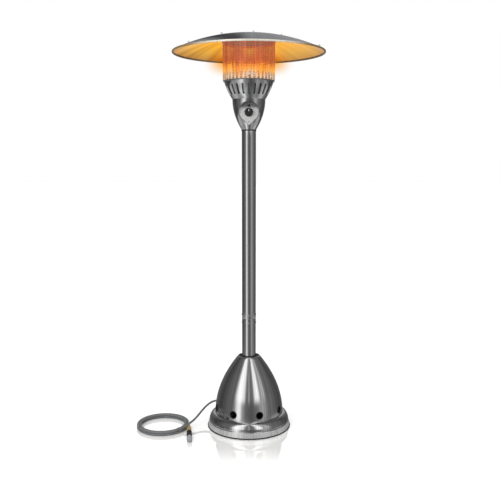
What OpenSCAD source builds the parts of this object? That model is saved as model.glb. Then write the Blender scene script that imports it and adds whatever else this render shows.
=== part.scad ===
// Free-standing natural gas patio heater: a round weighted base, a bell cover, a two-piece pole,
// a control housing, a burner bowl, a perforated emitter and a domed three-panel hood.
// Origin: the centre of the base, on the floor. +Z is up. -Y is the front, where the knob is.

/* [Base] */
// Diameter of the base over its black edge trim
base_d = 465; // [440:1:520]
// Height of the black edge trim that the heater stands on
trim_h = 5; // [4:0.5:8]
// Width of the edge trim's foot
trim_w = 7; // [6:0.5:12]
// Diameter of the pressed ring at its shoulder
shoulder_d = 446; // [425:1:450]
// Height of the shoulder's lower edge
shoulder_z = 34; // [28:1:38]
// Thickness of the pressed base ring
ring_wall = 1.5; // [1:0.1:2.5]
// Thickness of the steel base plate
plate_t = 4; // [3:0.5:6]
// Outer diameter of the cast ballast ring
ballast_d = 330; // [260:5:350]
// Inner diameter of the cast ballast ring
ballast_bore = 190; // [170:5:210]
// Height of the cast ballast ring
ballast_h = 32; // [15:1:45]

/* [Bell cover] */
// Outer diameter of the bell at its lower edge
bell_d = 378; // [360:1:390]
// Height of the bell's lower edge above the floor
bell_z = 81; // [76:1:90]
// Height of the bell
bell_h = 319; // [270:1:380]
// Diameter of the opening at the bell's top
bell_mouth_d = 112; // [106:1:126]
// Thickness of the bell's sheet
bell_wall = 1.5; // [1:0.1:2.5]
// Number of round vents
vent_n = 8; // [4:1:10]
// Diameter of a vent
vent_d = 38; // [26:1:44]
// Height of the vents' centres above the floor
vent_z = 115; // [112:1:150]
// Width of the rolled eyelet round a vent
eyelet_w = 3; // [2:0.5:4]

/* [Pole] */
// Outer diameter of the pole
pole_d = 76.2; // [70:0.1:82]
// Wall of the pole's tubes
pole_wall = 2; // [1.5:0.1:3]
// Height of the joint between the lower and the upper pole
pole_joint_z = 612; // [520:1:740]
// Length of the sleeve inside the joint
coupling_len = 110; // [80:1:160]
// Height of the top of the pole, where the control housing begins
neck_z = 1643; // [1380:1:1980]
// Diameter of the foot flange
foot_d = 150; // [140:1:170]

/* [Control housing] */
// Height of the tulip-shaped control housing
housing_h = 160; // [150:1:192]
// Diameter of the control housing at its top
housing_d = 176; // [166:1:200]
// Thickness of the housing's sheet
housing_wall = 1.5; // [1:0.1:2]
// Radius of the round upper part of the front recess
recess_r = 54; // [50:0.5:60]
// Height of the recess's centre above the pole's top
recess_up = 93; // [88:0.5:98]
// Distance of the recess's lower tip below its centre
recess_tip = 72; // [66:0.5:74]
// Distance of the front panel from the heater's axis
panel_y = 50; // [47:0.5:54]
// Thickness of the front panel
panel_t = 2; // [1.5:0.1:3]

/* [Controls] */
// Diameter of the gas control knob
knob_d = 45; // [38:0.5:52]
// Depth of the knob, front to back
knob_depth = 21; // [16:0.5:26]
// Travel of the knob when it is pushed in
knob_travel = 5; // [3:0.5:6]
// Diameter of the valve's stem
stem_d = 8; // [6:0.5:10]
// Diameter of the igniter's push button
button_d = 11; // [9:0.5:14]
// Travel of the igniter's push button
button_travel = 5; // [3:0.5:6]
// Height of the push button above the knob's centre
button_up = 35; // [33:0.5:38]

/* [Burner] */
// Height of the burner bowl
bowl_h = 97; // [80:1:116]
// Diameter of the bowl's rim
bowl_d = 274; // [260:1:276]
// Number of air slots in the bowl
slot_n = 24; // [12:1:28]
// Width of an air slot
slot_w = 12; // [8:0.5:14]
// Length of an air slot
slot_len = 54; // [40:1:58]
// Diameter of the round burner head
burner_d = 116; // [100:1:140]
// Height of the burner head
burner_h = 26; // [20:1:36]

/* [Emitter and hood] */
// Outer diameter of the perforated emitter screen
emitter_d = 277; // [268:1:296]
// Height of the emitter screen
emitter_h = 198; // [165:1:237]
// Thickness of the emitter's sheet
emitter_wall = 1; // [0.8:0.1:1.5]
// Diameter of the hood
hood_d = 813; // [680:1:975]
// Rise of the hood's dome from its rim to its top
hood_rise = 92; // [80:1:110]
// Height of the hood's rim above the control housing's lower end
rim_up = 403; // [398:1:412]
// Thickness of the hood's sheet
hood_wall = 1; // [0.8:0.1:1.5]
// Diameter of the rolled bead round the hood's rim
bead_d = 10; // [8:0.5:12]
// Radius of the circle of the hood's fixing studs
stud_r = 165; // [150:1:220]

/* [Gas hose] */
// Outer diameter of the hose
hose_d = 12; // [10:0.5:14]
// Radius of the coil at the middle of its four turns
coil_r = 133; // [130:1:140]
// Diameter of the coupler's sleeve
sleeve_d = 28; // [24:0.5:30]
// Travel of the coupler's sleeve when it is pulled back
sleeve_travel = 6; // [4:0.5:8]

/* [Hidden] */

// Curves and gaps
round_fn = 96;
small_fn = 32;
arc_steps = 14;
fit_gap = 0.4;
run_gap = 0.05;
eps = 0.01;

// Heights up the heater
plate_z = trim_h;
plate_top = plate_z + plate_t;
bell_top_z = bell_z + bell_h;
housing_top_z = neck_z + housing_h;
bowl_top_z = housing_top_z + bowl_h;
emitter_top_z = bowl_top_z + emitter_h;
rim_z = neck_z + rim_up;
hood_top_z = rim_z + hood_rise;
knob_z = neck_z + recess_up - 3;
button_z = knob_z + button_up;

// Radii
pole_r = pole_d / 2;
pole_in = pole_r - pole_wall;
bell_r = bell_d / 2;
bell_draw = bell_r - bell_mouth_d / 2 - 5;
neck_r = pole_r + fit_gap;
housing_r = housing_d / 2;
hood_r = hood_d / 2;
dome_r = (hood_r * hood_r + hood_rise * hood_rise) / (2 * hood_rise);
emitter_r = emitter_d / 2;

// Colours
steel = [0.62, 0.62, 0.63];
dark_steel = [0.38, 0.38, 0.40];
polished = [0.75, 0.75, 0.77];
black = [0.05, 0.05, 0.05];
brass = [0.78, 0.58, 0.25];
copper = [0.72, 0.36, 0.20];
iron = [0.22, 0.22, 0.23];
hose_grey = [0.33, 0.34, 0.35];

// Profiles of the sheet-metal shells, as radius against height
function bell_at(z) = bell_r - bell_draw * pow((z - bell_z) / bell_h, 2);
function housing_at(z) = neck_r + (housing_r - neck_r) * (1 - pow((housing_top_z - z) / housing_h, 2));
function bowl_at(z) =
    let (t = (z - housing_top_z) / bowl_h, flare = bowl_d / 2 - 4 - housing_r)
    housing_r + flare * (1.4 * t - 0.4 * t * t);
function dome_at(r) = hood_top_z - dome_r + sqrt(dome_r * dome_r - r * r);
function ramp(a, b, steps) = [for (i = [0:steps]) a + (b - a) * i / steps];
function back(list) = [for (i = [len(list) - 1:-1:0]) list[i]];

// Ring-shaped pieces
module ring(r_out, r_in, h, z = 0) {
    translate([0, 0, z])
        difference() {
            cylinder(r = r_out, h = h, $fn = round_fn);
            translate([0, 0, -1])
                cylinder(r = r_in, h = h + 2, $fn = round_fn);
        }
}

module lathe(points) {
    rotate_extrude($fn = round_fn)
        polygon(points);
}

// Places children on the circle of radius r, at azimuths counted from the front towards +X
module around(r, angles, z = 0) {
    for (a = angles)
        rotate([0, 0, a])
            translate([0, -r, z])
                children();
}

// A shaft with its axis along -Y, starting at y
module front_rod(r, y, len, fn = small_fn) {
    translate([0, y, 0])
        rotate([90, 0, 0])
            cylinder(r = r, h = len, $fn = fn);
}

// ---------- Base ----------
foot_t = 6;
foot_socket_h = 66;
foot_bolt_n = 4;
foot_bolt_r = foot_d / 2 - 14;
foot_bolt_d = 8;
plate_r = shoulder_d / 2 - ring_wall - 4;
lip_w = 14;

module edge_trim() {
    color(black)
        lathe([
            [base_d / 2 - trim_w, 0],
            [base_d / 2 - 1, 0],
            [base_d / 2, 1.5],
            [base_d / 2 - 1, trim_h],
            [base_d / 2 - trim_w, trim_h]
        ]);
}

module base_plate() {
    color(dark_steel)
        difference() {
            union() {
                translate([0, 0, plate_z])
                    cylinder(r = plate_r, h = plate_t, $fn = round_fn);
                translate([0, 0, plate_z])
                    cylinder(r = base_d / 2 - trim_w + 3, h = 1, $fn = round_fn);
            }
            around(foot_bolt_r, [45:360 / foot_bolt_n:359], plate_z - 1)
                cylinder(d = foot_bolt_d + 1, h = plate_t + 2, $fn = small_fn);
        }
}

module ballast_ring() {
    color(iron)
        ring(ballast_d / 2, ballast_bore / 2, ballast_h, plate_top);
}

// Outline of the pressed ring: a flared foot, a step at the shoulder and a round crown
function ring_outline(inset) = concat(
    [[base_d / 2 - 2.5 - inset, trim_h + 1], [shoulder_d / 2 - 0.5 - inset, shoulder_z]],
    [for (a = ramp(0, 90, 8))
        [bell_r - 4 + (shoulder_d / 2 - bell_r + 4 - inset) * cos(a),
         shoulder_z + 2 + (bell_z - shoulder_z - 2 - inset) * sin(a)]]
);

module base_ring() {
    color(steel)
        lathe(concat(
            ring_outline(0),
            [[bell_r - lip_w, bell_z], [bell_r - lip_w, bell_z - ring_wall]],
            back(ring_outline(ring_wall))
        ));
}

module pole_foot() {
    color(dark_steel)
        difference() {
            union() {
                translate([0, 0, plate_top])
                    cylinder(d = foot_d, h = foot_t, $fn = round_fn);
                translate([0, 0, plate_top])
                    cylinder(r = pole_in - run_gap, h = foot_t + foot_socket_h, $fn = round_fn);
            }
            translate([0, 0, plate_top - 1])
                cylinder(r = pole_in - 4, h = foot_t + foot_socket_h + 2, $fn = round_fn);
            around(foot_bolt_r, [45:360 / foot_bolt_n:359], plate_top - 1)
                cylinder(d = foot_bolt_d + 1, h = foot_t + 2, $fn = small_fn);
        }
}

module foot_bolts() {
    color(polished)
        around(foot_bolt_r, [45:360 / foot_bolt_n:359]) {
            translate([0, 0, plate_top + foot_t])
                cylinder(d = foot_bolt_d * 1.9, h = 5, $fn = 6);
            translate([0, 0, plate_z])
                cylinder(d = foot_bolt_d, h = plate_t + foot_t, $fn = small_fn);
        }
}

// ---------- Bell cover ----------
vent_first = 18;
vent_angles = [for (i = [0:vent_n - 1]) vent_first + i * 360 / vent_n];
hose_angle = vent_angles[5 % vent_n];
vent_at = bell_at(vent_z);
bell_levels = ramp(bell_z, bell_top_z, arc_steps);

module bell_cover() {
    color(steel)
        difference() {
            lathe(concat(
                [for (z = bell_levels) [bell_at(z), z]],
                [[bell_mouth_d / 2, bell_top_z + 1], [bell_mouth_d / 2, bell_top_z - 1]],
                [for (z = back(bell_levels)) [bell_at(z) - bell_wall, z - (z == bell_top_z ? 1 : 0)]]
            ));
            around(vent_at - 20, vent_angles, vent_z)
                front_rod(vent_d / 2 + fit_gap, 0, 40, round_fn);
        }
}

// Rolled rims round the vents; the vent that the hose uses has a grommet instead
module vent_eyelets() {
    color(black)
        for (a = vent_angles)
            if (a != hose_angle)
                around(vent_at, [a], vent_z)
                    difference() {
                        union() {
                            front_rod(vent_d / 2, 5, 8, round_fn);
                            front_rod(vent_d / 2 + eyelet_w, -1, 2.5, round_fn);
                        }
                        front_rod(vent_d / 2 - 1.5, 6, 12, round_fn);
                    }
}

collar_top_z = bell_top_z;
collar_h = 8;

// Rubber ring pressed into the bell's mouth, a little below its edge
module bell_collar() {
    color(black)
        lathe([
            [pole_r, collar_top_z - collar_h],
            [bell_mouth_d / 2, collar_top_z - collar_h],
            [bell_mouth_d / 2, collar_top_z],
            [bell_mouth_d / 2 - 3, collar_top_z],
            [bell_mouth_d / 2 - 6, collar_top_z - 3],
            [pole_r, collar_top_z - 3]
        ]);
}

// ---------- Pole ----------
fitting_z = vent_z - 10;
fitting_r = 8;
fitting_end = 100;
pipe_r = 5;
screw_drop = 22;
screw_angles = [0, 90, 180, 270];
pole_foot_z = plate_top + foot_t;
coupling_z = pole_joint_z - coupling_len / 2;

module lower_pole() {
    color(steel)
        difference() {
            ring(pole_r, pole_in, pole_joint_z - pole_foot_z, pole_foot_z);
            rotate([0, 0, hose_angle])
                translate([0, 0, fitting_z])
                    front_rod(fitting_r + 1, -pole_in + 6, 16);
            screw_holes(pole_joint_z - screw_drop);
        }
}

module upper_pole() {
    color(steel)
        difference() {
            ring(pole_r, pole_in, neck_z + 14 - pole_joint_z - fit_gap, pole_joint_z + fit_gap);
            screw_holes(pole_joint_z + screw_drop);
        }
}

module screw_holes(z) {
    around(pole_in - 12, screw_angles, z)
        front_rod(3, 0, 20);
}

module pole_coupling() {
    color(dark_steel)
        difference() {
            ring(pole_in - run_gap, pole_in - 3, coupling_len, coupling_z);
            screw_holes(pole_joint_z - screw_drop);
            screw_holes(pole_joint_z + screw_drop);
        }
}

module pole_screws() {
    color(polished)
        for (z = [pole_joint_z - screw_drop, pole_joint_z + screw_drop])
            around(0, screw_angles, z) {
                front_rod(2.5, -pole_in + 6, 8 + pole_wall);
                front_rod(5, -pole_r, 2.5);
            }
}

// Brass bulkhead fitting: it turns the gas from the hose up into the pipe inside the pole
module inlet_fitting() {
    color(brass)
        rotate([0, 0, hose_angle])
            translate([0, 0, fitting_z])
                union() {
                    translate([0, 0, -10])
                        cylinder(r = fitting_r + 3, h = 22, $fn = small_fn);
                    front_rod(fitting_r, 0, fitting_end - 22);
                    front_rod(12, -fitting_end + 22, 22, 6);
                }
}

hose_run = vent_at + 8;

module inlet_hose() {
    color(hose_grey)
        rotate([0, 0, hose_angle])
            translate([0, 0, fitting_z])
                front_rod(hose_d / 2, -fitting_end, hose_run - fitting_end);
}

module hose_grommet() {
    color(black)
        rotate([0, 0, hose_angle])
            difference() {
                union() {
                    translate([0, -vent_at + 6, vent_z])
                        front_rod(vent_d / 2, 0, 11, round_fn);
                    translate([0, -vent_at - 1, vent_z])
                        front_rod(vent_d / 2 + eyelet_w, 0, 4, round_fn);
                    translate([0, -vent_at - 1, fitting_z])
                        front_rod(hose_d / 2 + 2, 0, 9);
                }
                translate([0, 0, fitting_z])
                    front_rod(hose_d / 2, -vent_at + 12, 30);
            }
}

module gas_pipe() {
    color(brass)
        translate([0, 0, fitting_z + 12])
            cylinder(r = pipe_r, h = valve_z - fitting_z - 12, $fn = small_fn);
}

// ---------- Control housing ----------
valve_h = 36;
valve_w = 34;
valve_z = knob_z - 12;
gasket_h = 5;
gasket_w = 3;
housing_levels = ramp(neck_z, housing_top_z, arc_steps);
panel_back = -panel_y + panel_t;
recess_z = neck_z + recess_up;
flange_z = neck_z + 14;
flange_t = 3;
flange_r = housing_at(flange_z) - housing_wall - 1;

module neck_gasket() {
    color(black)
        ring(pole_r + gasket_w, pole_r, gasket_h, neck_z - gasket_h);
}

module head_flange() {
    color(dark_steel)
        difference() {
            union() {
                translate([0, 0, flange_z])
                    cylinder(r = flange_r, h = flange_t, $fn = round_fn);
                ring(pole_in - run_gap, pole_in - 3, 40, flange_z - 40);
            }
            translate([0, 0, flange_z - 41])
                cylinder(r = pipe_r + 2, h = 50, $fn = small_fn);
        }
}

// Teardrop of the front recess, in the plane that faces the front
module teardrop(r, tip) {
    half_angle = acos(r / tip);
    circle(r = r, $fn = round_fn);
    polygon([
        [0, -tip],
        [r * sin(half_angle), -r * cos(half_angle)],
        [0, 0],
        [-r * sin(half_angle), -r * cos(half_angle)]
    ]);
}

// The teardrop as a prism along -Y, from y to the front
module teardrop_prism(r, tip, y, len) {
    translate([0, y, recess_z])
        rotate([90, 0, 0])
            linear_extrude(len)
                teardrop(r, tip);
}

module control_housing() {
    color(polished)
        difference() {
            lathe(concat(
                [for (z = housing_levels) [housing_at(z), z]],
                [for (z = back(housing_levels)) [max(housing_at(z) - housing_wall, pole_r + eps), z]]
            ));
            teardrop_prism(recess_r, recess_tip, -panel_y + 12, housing_r);
        }
}

liner_wall = 1.2;
liner_r = recess_r - fit_gap;
liner_tip = recess_tip - fit_gap;

// Wall of the recess, trimmed by the housing's own curve
module recess_liner() {
    color(dark_steel)
        intersection() {
            difference() {
                teardrop_prism(liner_r, liner_tip, -panel_y, housing_r);
                teardrop_prism(liner_r - liner_wall, liner_tip - liner_wall * 1.3, -panel_y + 1, housing_r);
            }
            lathe(concat([[0, neck_z]], [for (z = housing_levels) [housing_at(z), z]], [[0, housing_top_z]]));
        }
}

panel_screw_at = [[-36, 26], [36, 26], [0, -52]];

module control_panel() {
    color(polished)
        difference() {
            teardrop_prism(liner_r, liner_tip, panel_back, panel_t);
            translate([0, 0, knob_z])
                front_rod(stem_d / 2 + 1.5, panel_back + 1, panel_t + 2);
            translate([0, 0, button_z])
                front_rod(button_d / 2 + fit_gap, panel_back + 1, panel_t + 2);
            for (p = panel_screw_at)
                translate([p[0], 0, recess_z + p[1]])
                    front_rod(2, panel_back + 1, panel_t + 2);
        }
}

module panel_screws() {
    color(dark_steel)
        for (p = panel_screw_at)
            translate([p[0], 0, recess_z + p[1]]) {
                front_rod(3.2, -panel_y, 1.6);
                front_rod(1.8, panel_back + 5, panel_t + 5);
            }
}

valve_front = -panel_y + 14;

module gas_valve() {
    color(brass)
        difference() {
            union() {
                translate([-valve_w / 2, valve_front, valve_z])
                    cube([valve_w, valve_w + 6, valve_h]);
                translate([0, 0, knob_z])
                    front_rod(12, valve_front, 6);
            }
            translate([0, 0, knob_z])
                front_rod(stem_d / 2 + run_gap, valve_front + 16, 24);
        }
}

// Channel that holds the valve behind the panel
module valve_bracket() {
    bracket_w = valve_w + 1;
    color(dark_steel)
        for (side = [-1, 1]) {
            translate([side * (bracket_w / 2 + 1) - 1 - (side > 0 ? 0.5 : -0.5), panel_back, valve_z + 2])
                cube([2, valve_w - 4, valve_h - 8]);
            translate([side > 0 ? bracket_w / 2 + 1.5 : -bracket_w / 2 - 10.5, panel_back, valve_z + 2])
                cube([9, 2, valve_h - 8]);
        }
}

knob_back = -panel_y - knob_travel - 1.5;
knob_front = knob_back - knob_depth;

module valve_stem() {
    color(brass)
        translate([0, 0, knob_z]) {
            front_rod(stem_d / 2, valve_front + 4, -knob_back + valve_front + 4 + 11);
            front_rod(stem_d / 2 + 1, knob_back + 3, 2);
        }
}

// Return spring round the stem, between the valve's nose and the stem's collar
module stem_spring() {
    spring_start = valve_front - 6;
    spring_len = spring_start - knob_back - 3;
    spring_r = stem_d / 2 + 0.9;
    coils = 5;
    color(polished)
        translate([0, 0, knob_z])
            for (i = [0:coils - 1])
                translate([0, spring_start - 0.6 - i * (spring_len - 1.2) / coils, 0])
                    rotate([90, 0, 0])
                        rotate_extrude($fn = small_fn)
                            translate([spring_r, 0])
                                circle(r = 0.4, $fn = 16);
}

module control_knob() {
    color(black)
        translate([0, 0, knob_z])
            difference() {
                translate([0, knob_back, 0])
                    rotate([90, 0, 0])
                        rotate_extrude($fn = round_fn)
                            polygon([
                                [0, 0],
                                [knob_d / 2, 0],
                                [knob_d / 2, 4],
                                [knob_d / 2 - 3, 6],
                                [knob_d / 2 - 5, knob_depth - 2],
                                [knob_d / 2 - 7, knob_depth],
                                [0, knob_depth]
                            ]);
                front_rod(stem_d / 2 + run_gap, knob_back + 1, 12.5);
                front_rod(stem_d / 2 + 1 + fit_gap, knob_back + 1, 1.5);
            }
}

module knob_pointer() {
    color("white")
        translate([-1.2, knob_front - 0.8, knob_z + 3])
            cube([2.4, 0.8, knob_d / 2 - 11]);
}

button_face = -panel_y - button_travel - 2;
button_back = -panel_y + 1;
plunger_r = 3.5;
plunger_len = 13;
pocket_depth = button_travel + 2;
igniter_d = 18;
igniter_len = 24;

module igniter_body() {
    color(iron)
        translate([0, 0, button_z])
            difference() {
                front_rod(igniter_d / 2, panel_back + igniter_len, igniter_len);
                front_rod(button_d / 2 + fit_gap, panel_back + pocket_depth, pocket_depth + 1);
                front_rod(plunger_r + run_gap, button_back + plunger_len + button_travel + 1, 20);
            }
}

module igniter_button() {
    color(black)
        translate([0, 0, button_z]) {
            front_rod(plunger_r, button_back + plunger_len, plunger_len + 1);
            front_rod(button_d / 2, button_back, button_back - button_face);
        }
}

module tilt_switch() {
    color(iron)
        translate([valve_w / 2 + 8, -10, valve_z + 4])
            cube([14, 20, 26]);
}

jet_h = 14;

module orifice_jet() {
    color(brass)
        translate([0, 0, valve_z + valve_h])
            cylinder(r = 6, h = jet_h, $fn = 6);
}

// ---------- Burner ----------
bowl_wall = 1.5;
lip_t = 2;
lip_z = bowl_top_z - 4 - lip_t;
bowl_levels = ramp(housing_top_z, lip_z, arc_steps);
slot_z = housing_top_z + 21;
slot_angles = [for (i = [0:slot_n - 1]) i * 360 / slot_n];
burner_z = bowl_top_z - 8;
venturi_z = valve_z + valve_h + jet_h + 4;

module venturi_tube() {
    color(dark_steel)
        lathe([
            [8, venturi_z],
            [13, venturi_z],
            [10, venturi_z + 24],
            [14, burner_z - 4],
            [14, burner_z],
            [12, burner_z],
            [12, burner_z - 4],
            [8, venturi_z + 24]
        ]);
}

module burner_bowl() {
    color(polished)
        difference() {
            lathe(concat(
                [for (z = bowl_levels) [bowl_at(z), z]],
                [[bowl_d / 2 - 2, lip_z], [bowl_d / 2 - 2, lip_z + lip_t]],
                [[bowl_at(lip_z) - bowl_wall, lip_z + lip_t]],
                [for (z = back(bowl_levels)) [bowl_at(z) - bowl_wall, z]]
            ));
            for (a = slot_angles)
                rotate([0, 0, a])
                    bowl_slot();
        }
}

// A slot with round ends through the front wall of the bowl
module bowl_slot() {
    for (z = [slot_z + slot_w / 2, slot_z + slot_len - slot_w / 2])
        translate([0, 0, z])
            front_rod(slot_w / 2, -housing_r + 12, 60);
    translate([-slot_w / 2, -housing_r - 48, slot_z + slot_w / 2])
        cube([slot_w, 60, slot_len - slot_w]);
}

module bowl_ring() {
    color(dark_steel)
        ring(bowl_d / 2, emitter_r - 8, 4, bowl_top_z - 4);
}

baffle_t = 1.2;
baffle_gap = 9;
burner_plate_t = 3;
plate_under_z = burner_z - burner_plate_t;

// Perforated plate that carries the burner, with a flared air baffle under it
module burner_plate() {
    plate_hole_n = 18;
    plate_in = bowl_at(bowl_top_z - 10) - bowl_wall - 1;
    baffle_low = housing_r - 4;
    baffle_high = bowl_at(plate_under_z) - baffle_gap;
    color(dark_steel)
        difference() {
            union() {
                translate([0, 0, plate_under_z])
                    cylinder(r = plate_in, h = burner_plate_t, $fn = round_fn);
                lathe([
                    [baffle_low, housing_top_z + 5],
                    [baffle_high, plate_under_z + 1],
                    [baffle_high - baffle_t, plate_under_z + 1],
                    [baffle_low - baffle_t, housing_top_z + 5]
                ]);
            }
            translate([0, 0, plate_under_z - 1])
                cylinder(r = 14 + fit_gap, h = burner_plate_t + 2, $fn = small_fn);
            around(plate_in - 21, [for (i = [0:plate_hole_n - 1]) i * 360 / plate_hole_n], plate_under_z - 1)
                cylinder(r = 8, h = burner_plate_t + 2, $fn = small_fn);
        }
}

module burner_head() {
    port_n = 24;
    color(iron)
        difference() {
            translate([0, 0, burner_z])
                cylinder(d1 = burner_d - 8, d2 = burner_d, h = burner_h, $fn = round_fn);
            translate([0, 0, burner_z - 1])
                cylinder(r = 12, h = burner_h - 3, $fn = small_fn);
            around(burner_d / 2 - 8, [for (i = [0:port_n - 1]) i * 360 / port_n], burner_z + burner_h / 2)
                cylinder(r = 2, h = burner_h, $fn = small_fn);
        }
}

pilot_r = burner_d / 2 + 14;

module pilot_burner() {
    color(brass)
        around(pilot_r, [0], burner_z) {
            cylinder(r = 4, h = burner_h, $fn = small_fn);
            translate([-7, -3, burner_h])
                cube([14, 12, 5]);
        }
}

module thermocouple() {
    color(copper)
        around(pilot_r, [14], burner_z) {
            cylinder(r = 1.8, h = burner_h + 16, $fn = small_fn);
            cylinder(r = 4, h = 8, $fn = small_fn);
        }
}

module spark_electrode() {
    color("white")
        around(pilot_r, [-14], burner_z) {
            cylinder(r = 4, h = 16, $fn = small_fn);
            translate([0, 0, 16])
                cylinder(r = 1.2, h = burner_h + 2, $fn = small_fn);
        }
}

// ---------- Emitter and hood ----------
cap_t = 1.5;
stay_w = 16;
stay_t = 4;
stay_in = 30;
stay_angles = [8, 128, 248];
seam_angles = [-52, 68, 188];
stud_d = 6;
nut_h = 4.5;
stud_top = dome_at(stud_r) + nut_h + 1.5;
stay_drop = 12;
stay_end_z = dome_at(stud_r) - stay_drop;
stay_hub_z = emitter_top_z + cap_t;
stay_radii = ramp(0, stud_r + 8, 8);

module emitter_screen() {
    color(copper)
        ring(emitter_r, emitter_r - emitter_wall, emitter_h, bowl_top_z);
}

module emitter_cap() {
    color(dark_steel)
        difference() {
            translate([0, 0, emitter_top_z])
                cylinder(r = emitter_r + 3, h = cap_t, $fn = round_fn);
            around(60, stay_angles, emitter_top_z - 1)
                cylinder(r = 3, h = cap_t + 2, $fn = small_fn);
        }
}

// Hub and three arms under the dome, which carry the hood on the emitter's cap
module hood_stays() {
    color(dark_steel)
        difference() {
            union() {
                translate([0, 0, stay_hub_z])
                    cylinder(r = stay_in, h = dome_at(0) - stay_drop - stay_t / 2 - stay_hub_z, $fn = round_fn);
                intersection() {
                    lathe(concat(
                        [for (r = stay_radii) [r, dome_at(r) - stay_drop]],
                        [for (r = back(stay_radii)) [r, dome_at(r) - stay_drop - stay_t]]
                    ));
                    for (a = stay_angles)
                        rotate([0, 0, a])
                            translate([-stay_w / 2, -hood_r, rim_z])
                                cube([stay_w, hood_r, hood_rise]);
                }
            }
            around(stud_r, stay_angles, stay_end_z - 20)
                cylinder(d = stud_d + fit_gap, h = 40, $fn = small_fn);
            translate([0, 0, stay_hub_z + 5])
                cylinder(d = stud_d + fit_gap, h = 60, $fn = small_fn);
        }
}

module hood_studs() {
    spacer_z = dome_at(stud_r - 6) - stay_drop + 0.2;
    color(polished)
        around(stud_r, stay_angles) {
            translate([0, 0, stay_end_z - 10])
                cylinder(d = stud_d, h = stud_top - stay_end_z + 10, $fn = small_fn);
            translate([0, 0, spacer_z])
                cylinder(d = stud_d + 6, h = dome_at(stud_r + 6) - hood_wall * 2 - spacer_z, $fn = small_fn);
        }
}

hood_radii = ramp(18, hood_r - bead_d / 2, 18);
lap_angle = 2.4;

// One layer of the dome's sheet; layer 0 is the outer one
module dome_sheet(layer) {
    drop = layer * hood_wall;
    lathe(concat(
        [for (r = hood_radii) [r, dome_at(r) - drop]],
        [for (r = back(hood_radii)) [r, dome_at(r) - drop - hood_wall]]
    ));
}

// Everything between two azimuths, counted from the front towards +X
module wedge(from, to) {
    reach = hood_r * 2;
    middle = (from + to) / 2;
    translate([0, 0, rim_z - 20])
        linear_extrude(hood_rise + 60)
            polygon([
                [0, 0],
                [reach * sin(from), -reach * cos(from)],
                [reach * sin(middle), -reach * cos(middle)],
                [reach * sin(to), -reach * cos(to)]
            ]);
}

seam_gap_angle = 0.05;
bolt_shift = lap_angle / 2;
seam_bolt_r = [180, hood_r - 22];
seam_bolt_d = 5;

// A third of the dome with a rolled bead, lapped under its neighbour at one edge
module hood_panel(first) {
    last = first + 120;
    color(dark_steel)
        difference() {
            union() {
                intersection() {
                    union() {
                        dome_sheet(0);
                        translate([0, 0, rim_z])
                            rotate_extrude($fn = round_fn)
                                translate([hood_r - bead_d / 2, 0])
                                    circle(d = bead_d, $fn = small_fn);
                    }
                    wedge(first + seam_gap_angle, last - seam_gap_angle);
                }
                intersection() {
                    dome_sheet(1);
                    wedge(last - lap_angle, last + lap_angle);
                    cylinder(r = hood_r - bead_d - 4, h = hood_top_z + 10, $fn = round_fn);
                }
            }
            for (a = [first, last])
                around_pairs(a + bolt_shift)
                    cylinder(d = seam_bolt_d + 1, h = 40, center = true, $fn = small_fn);
            around(stud_r, stay_angles, dome_at(stud_r) - 20)
                cylinder(d = stud_d + 1, h = 40, $fn = small_fn);
        }
}

crown_r = 42;
crown_t = 2;

// Small disc that closes the middle, where the three panels meet
module crown_cap() {
    crown_radii = ramp(0, crown_r, 4);
    color(polished) {
        lathe(concat(
            [for (r = crown_radii) [r, dome_at(r) + crown_t]],
            [for (r = back(crown_radii)) [r, dome_at(r)]]
        ));
        translate([0, 0, stay_hub_z + 6])
            cylinder(d = stud_d, h = hood_top_z + crown_t + 5 - stay_hub_z - 6, $fn = small_fn);
        translate([0, 0, hood_top_z + crown_t - 1])
            cylinder(r = 7, h = 7, $fn = 6);
    }
}

module around_pairs(a) {
    for (r = seam_bolt_r)
        around(r, [a], dome_at(r))
            children();
}

module hood_panel_a() {
    hood_panel(seam_angles[0]);
}

module hood_panel_b() {
    hood_panel(seam_angles[1]);
}

module hood_panel_c() {
    hood_panel(seam_angles[2]);
}

// Two bolts in each seam, with a tall nut on top
module seam_bolts() {
    color(polished)
        for (a = seam_angles, r = seam_bolt_r)
            around(r, [a + bolt_shift], 0) {
                translate([0, 0, dome_at(r) - 9])
                    cylinder(d = seam_bolt_d, h = 20, $fn = small_fn);
                translate([0, 0, dome_at(r - 5) + 0.1])
                    cylinder(r = 5, h = 8, $fn = 6);
                translate([0, 0, dome_at(r + 5) - 2 * hood_wall - 5.6])
                    cylinder(r = 5, h = 5, $fn = small_fn);
            }
}

module hood_nuts() {
    color(polished)
        around(stud_r, stay_angles, dome_at(stud_r - 5) + 0.1)
            difference() {
                cylinder(r = 5, h = nut_h, $fn = 6);
                translate([0, 0, -1])
                    cylinder(d = stud_d + fit_gap, h = 20, $fn = small_fn);
            }
}

// ---------- Gas hose ----------
hose_r = hose_d / 2;
coil_x = -482;
coil_y = -36;
tube_sides = 10;
lead_points = [
    [-174, 89, 105], [-190, 96, 102], [-207, 98, 97], [-223, 94, 90], [-238, 84, 82],
    [-251, 70, 74], [-262, 52, 67], [-272, 32, 61], [-282, 11, 54], [-292, -11, 48],
    [-303, -33, 42], [-316, -55, 37], [-331, -76, 32], [-348, -96, 25], [-368, -116, 18]
];
tail_points = [[-348, 0, 6], [-342, -24, 7], [-337, -50, 10], [-333, -80, 15]];
coupler_angle = 6;
coupler_at = [-333, -80, 15];

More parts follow.
